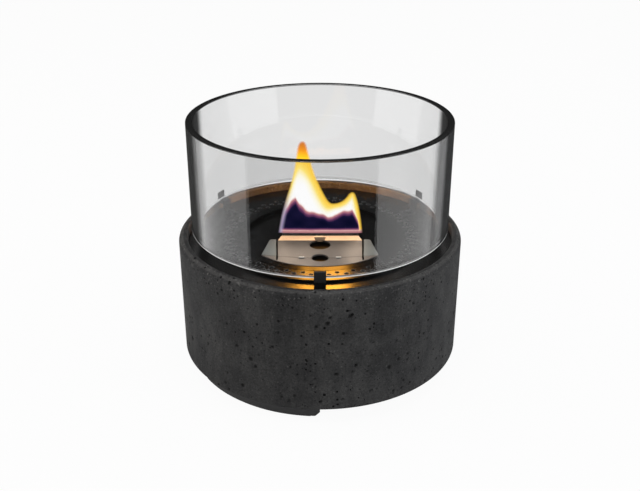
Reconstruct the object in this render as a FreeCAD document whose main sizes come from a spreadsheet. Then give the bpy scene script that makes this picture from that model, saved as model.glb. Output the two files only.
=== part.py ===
"""Tabletop fire pit: a concrete drum, a glass cylinder on clips, and a burner with a sliding lid.

Millimetres. +Z is up, the front is -Y, and the origin is on the table at the middle of the feet.
Angles round the object are counted from the front (-Y) towards the right (+X).
"""

import FreeCAD, Part

import Sketcher

import math
import os

SHEET = "Sizes"
TURN = 360
HALF_TURN = TURN / 2

# How near a measured place has to be to count as the same
NEAR = 1e-4

# Driving sizes, one plain number for each thing that can be set by itself
SIZES = {
    # the three feet and the drum
    "pad_thick": 1.0,
    "pad_inset": 2.0,
    "pad_back_angle": 8.0,
    "foot_height": 11.4,
    "foot_inset": 6.5,
    "foot_width": 19.0,
    "foot_arc_angle": 60.0,
    "foot_bevel": 4.0,
    "foot_round": 1.5,
    "foot_first_angle": -30.0,
    "drum_height": 90.6,
    "rim_width": 6.5,
    "rim_round": 4.5,
    "rim_inner_round": 1.2,
    "base_round": 0.8,
    "ledge_drop": 7.9,
    "bowl_wall": 15.0,
    # feet screws and their plugs
    "screw_radius": 1.75,
    "screw_head_radius": 3.4,
    "screw_head_height": 1.9,
    "screw_sink": 1.2,
    "screw_room": 0.4,
    "screw_bite": 10.7,
    "screw_spread_angle": 18.0,
    "plug_wall": 1.25,
    "plug_length": 13.0,
    "plug_spare": 1.0,
    "plug_cover": 2.0,
    # sheet metal and clearances
    "sheet": 1.0,
    "plate": 1.2,
    "drop_gap": 0.5,
    "bolt_gap": 0.1,
    "run_gap": 0.3,
    "seat_gap": 0.4,
    # glass and its clips
    "glass_radius": 95.0,
    "glass_wall": 5.0,
    "glass_height": 80.2,
    "glass_lift": 5.6,
    "glass_bevel": 0.6,
    "clip_width": 8.0,
    "clip_sheet": 1.6,
    "clip_lip": 5.7,
    "clip_step": 7.0,
    "clip_foot": 8.7,
    "clip_rim_gap": 1.6,
    "clip_bend": 1.0,
    "clip_pad": 1.0,
    "bolt_radius": 1.5,
    "bolt_head_gap": 0.35,
    "bolt_head_height": 1.7,
    "nut_radius": 3.1,
    "nut_height": 2.4,
    # pan, gasket and perforated plate
    "gasket": 1.0,
    "gasket_inset": 1.5,
    "pan_step": 2.3,
    "pan_floor_gap": 1.0,
    "vent_rise": 1.9,
    "vent_round": 0.6,
    "hole_radius": 1.6,
    "hole_margin": 3.2,
    "hole_row_step": 2.8,
    "hole_count": 36,
    # burner
    "vent_width": 16.7,
    "flange_width": 5.6,
    "recess_depth": 3.0,
    "skirt_depth": 5.0,
    "tank_height": 52.0,
    "slot_half": 28.8,
    "slot_front": 1.0,
    "slot_depth": 10.8,
    "collar_height": 8.0,
    "wool_gap": 0.5,
    "tank_round": 3.0,
    "screen_hole": 2.0,
    "screen_step": 8.0,
    "screen_count": 6,
    # steel cover and lid
    "cover_gap": 1.2,
    "seam_radius": 174.0,
    "apron_depth": 13.4,
    "seam_gap": 0.3,
    "slit": 1.5,
    "lid_over": 2.2,
    "lid_taper": 1.5,
    "lip_clear": 2.5,
    "lip_length": 11.3,
    "lip_drop": 1.4,
    "lip_mitre": 2.0,
    "notch_radius": 6.0,
    "lid_bridge": 8.2,
    "tab_height": 2.6,
    "tab_half": 3.3,
    "tab_flare": 1.1,
    "guide_past": 1.6,
    "shoulder_width": 4.5,
    "guide_round": 2.0,
    "slit_margin": 0.7,
    "stop_place": 13.0,
    "stop_half": 1.85,
    "stop_depth": 1.0,
    "stop_height": 0.8,
}


class Size:
    """A number with the expression that makes it, so that sums of sizes stay bound to the sheet."""

    def __init__(self, value, text):
        self.value = float(value)
        self.text = text

    def join(self, other, sign, value, swap=False):
        other = other if isinstance(other, Size) else Size(other, f"{other}")
        first, second = (other, self) if swap else (self, other)
        return Size(value(first.value, second.value), f"({first.text} {sign} {second.text})")

    def __add__(self, other):
        return self.join(other, "+", lambda a, b: a + b)

    def __radd__(self, other):
        return self.join(other, "+", lambda a, b: a + b, swap=True)

    def __sub__(self, other):
        return self.join(other, "-", lambda a, b: a - b)

    def __rsub__(self, other):
        return self.join(other, "-", lambda a, b: a - b, swap=True)

    def __mul__(self, other):
        return self.join(other, "*", lambda a, b: a * b)

    def __rmul__(self, other):
        return self.join(other, "*", lambda a, b: a * b, swap=True)

    def __truediv__(self, other):
        return self.join(other, "/", lambda a, b: a / b)

    def __rtruediv__(self, other):
        return self.join(other, "/", lambda a, b: a / b, swap=True)

    def __neg__(self):
        return Size(-self.value, f"(0 - {self.text})")


def root(size):
    return Size(math.sqrt(size.value), f"sqrt({size.text})")


def cosine(size):
    return Size(math.cos(math.radians(size.value)), f"cos({size.text})")


def sine(size):
    return Size(math.sin(math.radians(size.value)), f"sin({size.text})")


doc = FreeCAD.newDocument("tabletop_fire_pit")
sheet = doc.addObject("Spreadsheet::Sheet", SHEET)


def read_sheet():
    """Fills the sheet, one row for each driving size, and gives the sizes by name."""
    sizes = {}
    for row, (name, value) in enumerate(SIZES.items(), start=1):
        sheet.set(f"A{row}", name)
        sheet.set(f"B{row}", str(value))
        sheet.setAlias(f"B{row}", name)
        sizes[name] = Size(value, f"{SHEET}.{name}")
    doc.recompute()
    return sizes


class Names:
    """The sizes as attributes, so that a size reads as its name."""

    def __init__(self, sizes):
        self.__dict__.update(sizes)


s = Names(read_sheet())

# Levels, from the table upwards
drum_base = s.foot_height
drum_top = drum_base + s.drum_height
ledge = drum_top - s.ledge_drop
bowl_bottom = drum_base + s.plug_length + s.plug_spare + s.plug_cover
tray_base = ledge + s.gasket
tray_top = tray_base + s.sheet
vent_top = tray_top + s.vent_rise
glass_base = drum_top + s.glass_lift
glass_top = glass_base + s.glass_height
seat_top = vent_top - s.plate
deck_top = vent_top - s.recess_depth
deck_base = deck_top - s.plate
tank_base = deck_base - s.tank_height
screen_top = deck_base - s.collar_height - s.wool_gap
screen_base = screen_top - s.sheet
clip_top = glass_base + s.clip_lip
shelf_top = glass_base - s.clip_pad

# Radii, from the glass outwards and inwards
glass_bore = s.glass_radius - s.glass_wall
leg_inner = s.glass_radius + s.run_gap
leg_outer = leg_inner + s.clip_sheet
rim_radius = leg_outer + s.clip_rim_gap
drum_radius = rim_radius + s.rim_width
bowl_radius = drum_radius - s.bowl_wall
tray_radius = rim_radius - s.drop_gap
clip_riser = s.glass_radius - s.clip_step
riser_inner = clip_riser - s.clip_sheet
vent_radius = clip_riser - s.clip_foot
pan_radius = vent_radius - s.pan_step
pan_bore = pan_radius - s.sheet
flange_radius = vent_radius - s.vent_width
recess_radius = flange_radius - s.flange_width
cover_radius = recess_radius - s.cover_gap
foot_outer = drum_radius - s.foot_inset
foot_inner = foot_outer - s.foot_width
screw_circle = foot_outer - s.foot_width / 2
seat_wall = flange_radius + s.seat_gap
skirt_radius = recess_radius + s.plate
seat_bore = skirt_radius + 2 * s.seat_gap
tank_bore = recess_radius - s.sheet
first_row = seat_wall + s.hole_margin
clip_start = vent_radius + 2 * s.seat_gap
bolt_circle = (clip_start + riser_inner) / 2
bolt_head_radius = (riser_inner - clip_start) / 2 - s.bolt_head_gap

# Places on the steel cover, across and from the middle towards the front
slot_back = s.slot_front + s.slot_depth
seam_front = cover_radius - s.apron_depth
seam_middle = s.seam_radius - seam_front
lid_half_back = s.slot_half + s.lid_over
lid_half_front = lid_half_back - s.lid_taper
lip_end = s.slot_front - s.lip_clear
lid_bend = s.lip_length - lip_end
hook_hole_radius = (seam_front - lid_bend - s.notch_radius - s.lid_bridge) / 2
guide_back = lid_bend - s.guide_past
guide_shoulder = lid_half_back + s.slit + s.shoulder_width
slit_outside = lid_half_front + s.slit
slit_circle = cover_radius - s.slit_margin
slit_reach = root(slit_circle * slit_circle - slit_outside * slit_outside)
corner_y = (seam_middle * seam_middle + cover_radius * cover_radius
            - s.seam_radius * s.seam_radius) / (2 * seam_middle)
corner_x = root(cover_radius * cover_radius - corner_y * corner_y)

# Angles round the object
FOOT_NAMES = ("front_left", "right", "back_left")
CLIP_NAMES = ("front", "right", "left")
THIRD = TURN / 3
FRONT = -90


def bind(thing, name, size):
    """Gives a property its size and keeps it bound to the sheet."""
    thing.setExpression(name, size.text if isinstance(size, Size) else str(size))


def plane(body, role):
    return next(f for f in body.Origin.OriginFeatures if f.Role == role)


def new_body(label):
    body = doc.addObject("PartDesign::Body", label)
    body.Label = label
    return body


def new_sketch(body, role, name, level=None):
    """A sketch on one of the body's own planes, lifted to a level along the plane's normal."""
    sketch = body.newObject("Sketcher::SketchObject", name)
    sketch.AttachmentSupport = [(plane(body, role), "")]
    sketch.MapMode = "FlatFace"
    if level is not None:
        bind(sketch, "AttachmentOffset.Base.z", level)
    return sketch


def hold(sketch, kind, place, size):
    """A distance from the sketch's origin to a point, bound to the sheet."""
    index = sketch.addConstraint(Sketcher.Constraint(kind, -1, 1, *place, size.value))
    sketch.setExpression(f"Constraints[{index}]", size.text)


def hold_point(sketch, place, across, up):
    """Places one point of a sketch by its two distances from the origin."""
    for kind, axis, size in (("DistanceX", -2, across), ("DistanceY", -1, up)):
        if isinstance(size, Size):
            hold(sketch, kind, place, size)
        else:
            sketch.addConstraint(Sketcher.Constraint("PointOnObject", *place, axis))


def number(size):
    return size.value if isinstance(size, Size) else float(size)


def add_polygon(sketch, points):
    """A closed outline through points, each bound to the sheet. A bare 0 lies on an axis."""
    spots = [FreeCAD.Vector(number(x), number(y), 0) for x, y in points]
    first = sketch.GeometryCount
    count = len(spots)
    for i in range(count):
        sketch.addGeometry(Part.LineSegment(spots[i], spots[(i + 1) % count]), False)
    for i in range(count):
        sketch.addConstraint(Sketcher.Constraint("Coincident", first + i, 2, first + (i + 1) % count, 1))
    for i, (x, y) in enumerate(points):
        hold_point(sketch, (first + i, 1), x, y)
    return sketch


def add_circle(sketch, x, y, radius):
    """A circle bound to the sheet by its centre and radius."""
    centre = FreeCAD.Vector(number(x), number(y), 0)
    place = sketch.addGeometry(Part.Circle(centre, FreeCAD.Vector(0, 0, 1), number(radius)), False)
    hold_point(sketch, (place, 3), x, y)
    index = sketch.addConstraint(Sketcher.Constraint("Radius", place, number(radius)))
    sketch.setExpression(f"Constraints[{index}]", radius.text)
    return sketch


def turned(label, points, angle=None):
    """A body turned about Z from its profile: points are (radius, height)."""
    body = new_body(label)
    sketch = add_polygon(new_sketch(body, "XZ_Plane", label + "_profile"), points)
    turn = body.newObject("PartDesign::Revolution", label + "_turn")
    turn.Profile = sketch
    turn.ReferenceAxis = (sketch, ["V_Axis"])
    turn.Midplane = True
    if angle is None:
        turn.Angle = TURN
    else:
        bind(turn, "Angle", angle)
    return body


def pad(body, sketch, length, name, down=False, middle=False):
    feature = body.newObject("PartDesign::Pad", name)
    feature.Profile = sketch
    bind(feature, "Length", length)
    feature.Reversed = down
    feature.Midplane = middle
    return feature


def cut_through(body, sketch, name):
    """A pocket through everything, both ways from its sketch."""
    doc.recompute()
    before = body.Shape.Volume
    feature = body.newObject("PartDesign::Pocket", name)
    feature.Profile = sketch
    feature.Type = "ThroughAll"
    feature.Midplane = True
    doc.recompute()
    if body.Shape.Volume >= before:
        raise RuntimeError(f"{name} cuts nothing")
    return feature


def soften(body, kind, name, size, wanted):
    """Rounds or bevels the edges that a test picks, as a Fillet or a Chamfer."""
    doc.recompute()
    base = body.Tip
    picked = [f"Edge{i}" for i, edge in enumerate(base.Shape.Edges, start=1) if wanted(edge)]
    if not picked:
        raise RuntimeError(f"{name} finds no edge")
    feature = body.newObject(f"PartDesign::{kind}", name)
    feature.Base = (base, picked)
    bind(feature, "Radius" if kind == "Fillet" else "Size", size)
    return feature


def near(value, size):
    return abs(value - number(size)) < NEAR


def round_edge(radius, level):
    """Picks the circular edge of that radius at that height."""

    def test(edge):
        curve = edge.Curve
        if not isinstance(curve, Part.Circle):
            return False
        return near(curve.Radius, radius) and near(curve.Center.z, level)

    return test


def upright_edge(edge):
    """Picks straight edges that run along Z."""
    return isinstance(edge.Curve, Part.Line) and near(abs(edge.tangentAt(edge.FirstParameter).z), 1)


def around(thing, angle):
    """Turns a sub-part about Z, its angle counted from the +X side that it is drawn on."""
    thing.Placement = FreeCAD.Placement(FreeCAD.Vector(), FreeCAD.Rotation(FreeCAD.Vector(0, 0, 1), 0))
    bind(thing, "Placement.Rotation.Angle", angle)
    return thing


def cylinder(label, radius, height, level, across=None):
    """A plain cylinder standing at a level, on the axis or out along +X."""
    made = doc.addObject("Part::Cylinder", label)
    bind(made, "Radius", radius)
    bind(made, "Height", height)
    bind(made, "Placement.Base.z", level)
    if across is not None:
        bind(made, "Placement.Base.x", across)
    return made


def fused(label, shapes):
    made = doc.addObject("Part::MultiFuse", label)
    made.Shapes = shapes
    return made


def cut_from(label, base, tool):
    made = doc.addObject("Part::Cut", label)
    made.Base = base
    made.Tool = tool
    return made


def group(label, pattern, angles):
    """One node that holds a separate solid for each angle, copies of one fastener."""
    copies = []
    for place, angle in enumerate(angles, start=1):
        copy = doc.addObject("App::Link", f"{label}_{place}")
        copy.LinkedObject = pattern
        copy.LinkTransform = True
        copies.append(around(copy, angle))
    made = doc.addObject("Part::Compound", label)
    made.Links = copies
    return made


def pocket(body, sketch, depth, name, up=False):
    """A pocket of a set depth, up or down from its sketch, which has to cut something."""
    doc.recompute()
    before = body.Shape.Volume
    feature = body.newObject("PartDesign::Pocket", name)
    feature.Profile = sketch
    bind(feature, "Length", depth)
    feature.Reversed = up
    doc.recompute()
    if body.Shape.Volume >= before:
        raise RuntimeError(f"{name} cuts nothing")
    return feature


def ring_of(body, feature, count, name):
    """Repeats a feature evenly round the body's Z axis."""
    pattern = body.newObject("PartDesign::PolarPattern", name)
    pattern.Originals = [feature]
    pattern.Axis = (plane(body, "Z_Axis"), [""])
    pattern.Angle = TURN
    bind(pattern, "Occurrences", count)
    body.Tip = pattern
    return pattern


def polar(radius, angle):
    """A point at a radius and an angle counted from +X, as two bound sizes."""
    return radius * cosine(angle), radius * sine(angle)


def strip(label, points, width):
    """A bent strip: its outline in the (radius, height) plane, made as wide as the strip."""
    body = new_body(label)
    sketch = add_polygon(new_sketch(body, "XZ_Plane", label + "_profile"), points)
    pad(body, sketch, width, label + "_width", middle=True)
    return body


def make_drum():
    """The cast drum: a bowl with a ledge for the pan and blind holes for the feet's plugs."""
    body = turned("concrete_body", [
        (0, drum_base),
        (drum_radius, drum_base),
        (drum_radius, drum_top),
        (rim_radius, drum_top),
        (rim_radius, ledge),
        (bowl_radius, ledge),
        (bowl_radius, bowl_bottom),
        (0, bowl_bottom),
    ])
    soften(body, "Fillet", "rim_outside", s.rim_round, round_edge(drum_radius, drum_top))
    soften(body, "Fillet", "rim_inside", s.rim_inner_round, round_edge(rim_radius, drum_top))
    soften(body, "Fillet", "base_edge", s.base_round, round_edge(drum_radius, drum_base))
    sketch = new_sketch(body, "XY_Plane", "plug_places", drum_base)
    for spread in (s.screw_spread_angle, -s.screw_spread_angle):
        x, y = polar(screw_circle, s.foot_first_angle + spread + FRONT)
        add_circle(sketch, x, y, s.screw_radius + s.plug_wall)
    holes = pocket(body, sketch, s.plug_length + s.plug_spare, "plug_holes", up=True)
    ring_of(body, holes, len(FOOT_NAMES), "plug_ring")
    return body


def make_foot(label, angle):
    """One arc-shaped foot with bevelled ends and two sunk screw holes."""
    body = turned(label, [
        (foot_inner, s.pad_thick),
        (foot_outer, s.pad_thick),
        (foot_outer, drum_base),
        (foot_inner, drum_base),
    ], s.foot_arc_angle)

    def lower_edge(kind):
        def test(edge):
            return isinstance(edge.Curve, kind) and all(near(v.Z, s.pad_thick) for v in edge.Vertexes)

        return test

    soften(body, "Chamfer", label + "_ends", s.foot_bevel, lower_edge(Part.Line))
    soften(body, "Fillet", label + "_edge", s.foot_round, lower_edge(Part.Circle))
    holes = new_sketch(body, "XY_Plane", label + "_hole_places")
    sinks = new_sketch(body, "XY_Plane", label + "_sink_places", s.pad_thick)
    for spread in (s.screw_spread_angle, -s.screw_spread_angle):
        x, y = polar(screw_circle, spread)
        add_circle(holes, x, y, s.screw_radius + s.screw_room)
        add_circle(sinks, x, y, s.screw_head_radius + s.screw_room)
    cut_through(body, holes, label + "_holes")
    pocket(body, sinks, s.screw_sink + s.screw_head_height, label + "_sinks", up=True)
    return around(body, angle)


def make_foot_pad(label, angle):
    """The rubber pad under a foot."""
    inside = foot_inner + s.pad_inset
    outside = foot_outer - s.pad_inset
    points = [(inside, 0), (outside, 0), (outside, s.pad_thick), (inside, s.pad_thick)]
    return around(turned(label, points, s.foot_arc_angle - s.pad_back_angle), angle)


def make_foot_fixings(angles):
    """The screws of the feet and the plugs they bite in, two for each foot."""
    head_base = s.pad_thick + s.screw_sink
    head_top = head_base + s.screw_head_height
    head = cylinder("foot_screw_head", s.screw_head_radius, s.screw_head_height, head_base, screw_circle)
    length = drum_base + s.screw_bite - head_top
    shank = cylinder("foot_screw_shank", s.screw_radius, length, head_top, screw_circle)
    screw = fused("foot_screw_pattern", [head, shank])
    plug_radius = s.screw_radius + s.plug_wall
    outside = cylinder("plug_outside", plug_radius, s.plug_length, drum_base, screw_circle)
    bore = cylinder("plug_bore", s.screw_radius, s.plug_length, drum_base, screw_circle)
    plug = cut_from("plug_pattern", outside, bore)
    spreads = (-s.screw_spread_angle, s.screw_spread_angle)
    places = [angle + spread for angle in angles for spread in spreads]
    return [group("foot_screws", screw, places), group("wall_plugs", plug, places)]


def make_gasket():
    """The flat ring between the pan's flange and the ledge."""
    outside = tray_radius - s.drop_gap
    inside = bowl_radius + s.gasket_inset
    points = [(inside, ledge), (outside, ledge), (outside, tray_base), (inside, tray_base)]
    return turned("rim_gasket", points)


def make_pan():
    """The sheet pan that lines the bowl. Its flange carries the plate and the clips."""
    floor = bowl_bottom + s.pan_floor_gap
    body = turned("liner_pan", [
        (0, floor),
        (pan_radius, floor),
        (pan_radius, tray_base),
        (tray_radius, tray_base),
        (tray_radius, tray_top),
        (pan_bore, tray_top),
        (pan_bore, floor + s.sheet),
        (0, floor + s.sheet),
    ])
    sketch = new_sketch(body, "XY_Plane", "bolt_place")
    add_circle(sketch, 0, -bolt_circle, s.bolt_radius + s.bolt_gap)
    ring_of(body, cut_through(body, sketch, "bolt_hole"), len(CLIP_NAMES), "bolt_ring")
    return body


def make_vent_plate():
    """The raised plate with three staggered rows of holes and a seat for the burner's flange."""
    body = turned("vent_plate", [
        (vent_radius, tray_top),
        (vent_radius, vent_top),
        (seat_wall, vent_top),
        (seat_wall, seat_top),
        (seat_bore, seat_top),
        (seat_bore, seat_top - s.sheet),
        (seat_wall + s.sheet, seat_top - s.sheet),
        (seat_wall + s.sheet, vent_top - s.sheet),
        (vent_radius - s.sheet, vent_top - s.sheet),
        (vent_radius - s.sheet, tray_top),
    ])
    soften(body, "Fillet", "plate_edge", s.vent_round, round_edge(vent_radius, vent_top))
    sketch = new_sketch(body, "XY_Plane", "hole_rows", vent_top)
    half_step = HALF_TURN / s.hole_count
    for row, steps in enumerate((0, 1, 0)):
        x, y = polar(first_row + row * s.hole_row_step, steps * half_step)
        add_circle(sketch, x, y, s.hole_radius)
    holes = pocket(body, sketch, 2 * s.sheet, "hole_set")
    ring_of(body, holes, s.hole_count, "hole_rings")
    return body


def make_clip(label, angle):
    """A black strip bent in steps: screwed foot, riser, shelf under the glass, leg outside it."""
    body = strip(label, [
        (clip_start, tray_top),
        (clip_riser, tray_top),
        (clip_riser, shelf_top - s.clip_sheet),
        (leg_outer, shelf_top - s.clip_sheet),
        (leg_outer, clip_top),
        (leg_inner, clip_top),
        (leg_inner, shelf_top),
        (riser_inner, shelf_top),
        (riser_inner, tray_top + s.clip_sheet),
        (clip_start, tray_top + s.clip_sheet),
    ], s.clip_width)

    def outer_bend(edge):
        middle = edge.CenterOfMass
        at_shelf = near(middle.z, shelf_top - s.clip_sheet)
        at_head = near(middle.z, clip_top)
        return (at_shelf or at_head) and near(middle.x, leg_outer) and near(middle.y, 0)

    soften(body, "Fillet", label + "_bends", s.clip_bend, outer_bend)
    sketch = new_sketch(body, "XY_Plane", label + "_hole")
    add_circle(sketch, bolt_circle, 0, s.bolt_radius + s.bolt_gap)
    pocket(body, sketch, tray_top + s.clip_sheet + s.bolt_gap, label + "_bolt_hole", up=True)
    return around(body, angle)


def make_clip_pad(label, angle):
    """The soft pad between a clip's shelf and the glass."""
    inside, outside = riser_inner, leg_inner
    points = [(inside, shelf_top), (outside, shelf_top), (outside, glass_base), (inside, glass_base)]
    return around(strip(label, points, s.clip_width), angle)


def make_clip_fixings(angles):
    """The screws and nuts that hold the clips on the flange."""
    head_base = tray_top + s.clip_sheet
    length = s.clip_sheet + s.sheet + s.nut_height
    head = cylinder("clip_screw_head", bolt_head_radius, s.bolt_head_height, head_base, bolt_circle)
    shank = cylinder("clip_screw_shank", s.bolt_radius, length, head_base - length, bolt_circle)
    screw = fused("clip_screw_pattern", [head, shank])
    nut_block = doc.addObject("Part::Prism", "nut_block")
    nut_block.Polygon = 6
    bind(nut_block, "Circumradius", s.nut_radius)
    bind(nut_block, "Height", s.nut_height)
    bind(nut_block, "Placement.Base.x", bolt_circle)
    bind(nut_block, "Placement.Base.z", tray_base - s.nut_height)
    bore = cylinder("nut_bore", s.bolt_radius, s.nut_height, tray_base - s.nut_height, bolt_circle)
    nut = cut_from("nut_pattern", nut_block, bore)
    return [group("clip_screws", screw, angles), group("clip_nuts", nut, angles)]


def make_glass():
    """The straight glass cylinder with small ground bevels."""
    body = turned("glass_cylinder", [
        (glass_bore, glass_base),
        (s.glass_radius, glass_base),
        (s.glass_radius, glass_top),
        (glass_bore, glass_top),
    ])
    for name, radius, level in (
        ("top_outside", s.glass_radius, glass_top),
        ("top_inside", glass_bore, glass_top),
        ("foot_outside", s.glass_radius, glass_base),
        ("foot_inside", glass_bore, glass_base),
    ):
        soften(body, "Chamfer", name, s.glass_bevel, round_edge(radius, level))
    return body


def make_burner_top():
    """The pressed top of the burner: flange, sunk deck with the flame slot, and skirt."""
    skirt_base = deck_base - s.skirt_depth
    body = turned("burner_top", [
        (0, deck_base),
        (recess_radius, deck_base),
        (recess_radius, skirt_base),
        (skirt_radius, skirt_base),
        (skirt_radius, seat_top),
        (flange_radius, seat_top),
        (flange_radius, vent_top),
        (recess_radius, vent_top),
        (recess_radius, deck_top),
        (0, deck_top),
    ])
    sketch = new_sketch(body, "XY_Plane", "slot_outline")
    add_polygon(sketch, rectangle(s.slot_half, s.slot_front, slot_back))
    cut_through(body, sketch, "slot_cut")
    return body


def rectangle(half, front, back):
    return [(-half, front), (half, front), (half, back), (-half, back)]


def make_tank():
    """The fuel can that hangs in the skirt of the burner's top."""
    body = turned("burner_tank", [
        (0, tank_base),
        (recess_radius, tank_base),
        (recess_radius, deck_base),
        (tank_bore, deck_base),
        (tank_bore, tank_base + s.sheet),
        (0, tank_base + s.sheet),
    ])
    soften(body, "Fillet", "tank_edge", s.tank_round, round_edge(recess_radius, tank_base))
    inside_edge = round_edge(tank_bore, tank_base + s.sheet)
    soften(body, "Fillet", "tank_corner", s.tank_round - s.sheet, inside_edge)
    return body


def make_collar():
    """The short neck under the flame slot."""
    body = new_body("slot_collar")
    sketch = new_sketch(body, "XY_Plane", "collar_outline", deck_base)
    add_polygon(sketch, rectangle(s.slot_half, s.slot_front, slot_back))
    around_it = rectangle(s.slot_half + s.sheet, s.slot_front - s.sheet, slot_back + s.sheet)
    add_polygon(sketch, around_it)
    pad(body, sketch, s.collar_height, "collar_walls", down=True)
    return body


def make_wool():
    """The ceramic wool that fills the can up to its screen."""
    wool_base = tank_base + s.sheet
    wool_radius = tank_bore - s.wool_gap
    points = [(0, wool_base), (wool_radius, wool_base), (wool_radius, screen_base), (0, screen_base)]
    body = turned("fuel_wool", points)
    lower_edge = round_edge(wool_radius, wool_base)
    soften(body, "Fillet", "wool_edge", s.tank_round - s.sheet, lower_edge)
    return body


def make_screen():
    """The perforated plate on the wool, with a row of holes under the slot."""
    body = new_body("wool_screen")
    disc = new_sketch(body, "XY_Plane", "screen_disc", screen_base)
    add_circle(disc, 0, 0, tank_bore - s.wool_gap)
    pad(body, disc, s.sheet, "screen_plate")
    reach = s.screen_step * (s.screen_count - 1)
    middle = (s.slot_front + slot_back) / 2
    sketch = new_sketch(body, "XY_Plane", "screen_hole_place")
    add_circle(sketch, -reach / 2, middle, s.screen_hole)
    hole = cut_through(body, sketch, "screen_first_hole")
    row = body.newObject("PartDesign::LinearPattern", "screen_row")
    row.Originals = [hole]
    row.Direction = (plane(body, "X_Axis"), [""])
    bind(row, "Length", reach)
    bind(row, "Occurrences", s.screen_count)
    body.Tip = row
    return body


def trim_at_seam(body, name):
    """Cuts off what lies in front of the curved seam."""
    sketch = new_sketch(body, "XY_Plane", name)
    add_circle(sketch, 0, seam_middle, s.seam_radius - s.seam_gap / 2)
    add_circle(sketch, 0, seam_middle, s.seam_radius + seam_front)
    cut_through(body, sketch, name + "_cut")


def make_guide(label, side):
    """A steel wing beside the lid, on two bent-down edges."""
    inner_back = lid_half_back + s.slit
    inner_front = slit_outside
    body = new_body(label)
    sketch = add_polygon(new_sketch(body, "XY_Plane", label + "_outline", seat_top), [
        (side * inner_back, -guide_back),
        (side * guide_shoulder, -guide_back),
        (side * corner_x, corner_y),
        (side * inner_front, -(seam_front + s.slit)),
    ])
    pad(body, sketch, s.plate, label + "_plate")
    trim_at_seam(body, label + "_seam")
    leg_front = corner_y + s.guide_round
    leg_back = -(guide_back + s.guide_round)
    edges = [
        ("inner_edge", inner_back, inner_front),
        ("outer_edge", guide_shoulder - 2 * s.plate, corner_x - 2 * s.plate),
    ]
    for name, back, front in edges:
        foot = new_sketch(body, "XY_Plane", f"{label}_{name}", deck_top)
        add_polygon(foot, [
            (side * back, leg_back),
            (side * (back + s.plate), leg_back),
            (side * (front + s.plate), leg_front),
            (side * front, leg_front),
        ])
        pad(body, foot, s.recess_depth - s.plate, f"{label}_{name}_leg")

    def shoulder(edge):
        spot = edge.CenterOfMass
        at_back = near(spot.y, -guide_back)
        return upright_edge(edge) and at_back and near(abs(spot.x), guide_shoulder)

    soften(body, "Fillet", label + "_shoulder", s.guide_round, shoulder)
    return body


def make_apron():
    """The steel crescent in front of the lid, with the lid's two stop tabs."""
    body = new_body("lid_apron")
    disc = new_sketch(body, "XY_Plane", "apron_disc", deck_top)
    add_circle(disc, 0, 0, cover_radius)
    pad(body, disc, s.recess_depth, "apron_block")
    seam = new_sketch(body, "XY_Plane", "apron_seam")
    add_circle(seam, 0, seam_middle, s.seam_radius + s.seam_gap / 2)
    cut_through(body, seam, "apron_seam_cut")
    hollow = new_sketch(body, "XY_Plane", "apron_hollow", deck_top)
    add_circle(hollow, 0, 0, cover_radius - s.plate)
    pocket(body, hollow, s.recess_depth - s.plate, "apron_hollow_cut", up=True)
    openings = new_sketch(body, "XY_Plane", "apron_openings")
    add_circle(openings, 0, -seam_front, s.notch_radius)
    for side in (-1, 1):
        add_polygon(openings, [
            (side * lid_half_front, -slit_reach),
            (side * slit_outside, -slit_reach),
            (side * slit_outside, corner_y),
            (side * lid_half_front, corner_y),
        ])
    cut_through(body, openings, "apron_openings_cut")
    stops = new_sketch(body, "XY_Plane", "stop_places", vent_top)
    stop_back = s.seam_gap - seam_front
    for side in (-1, 1):
        add_polygon(stops, [
            (side * s.stop_place - s.stop_half, stop_back - s.stop_depth),
            (side * s.stop_place + s.stop_half, stop_back - s.stop_depth),
            (side * s.stop_place + s.stop_half, stop_back),
            (side * s.stop_place - s.stop_half, stop_back),
        ])
    pad(body, stops, s.stop_height, "stop_tabs")
    return body


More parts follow.
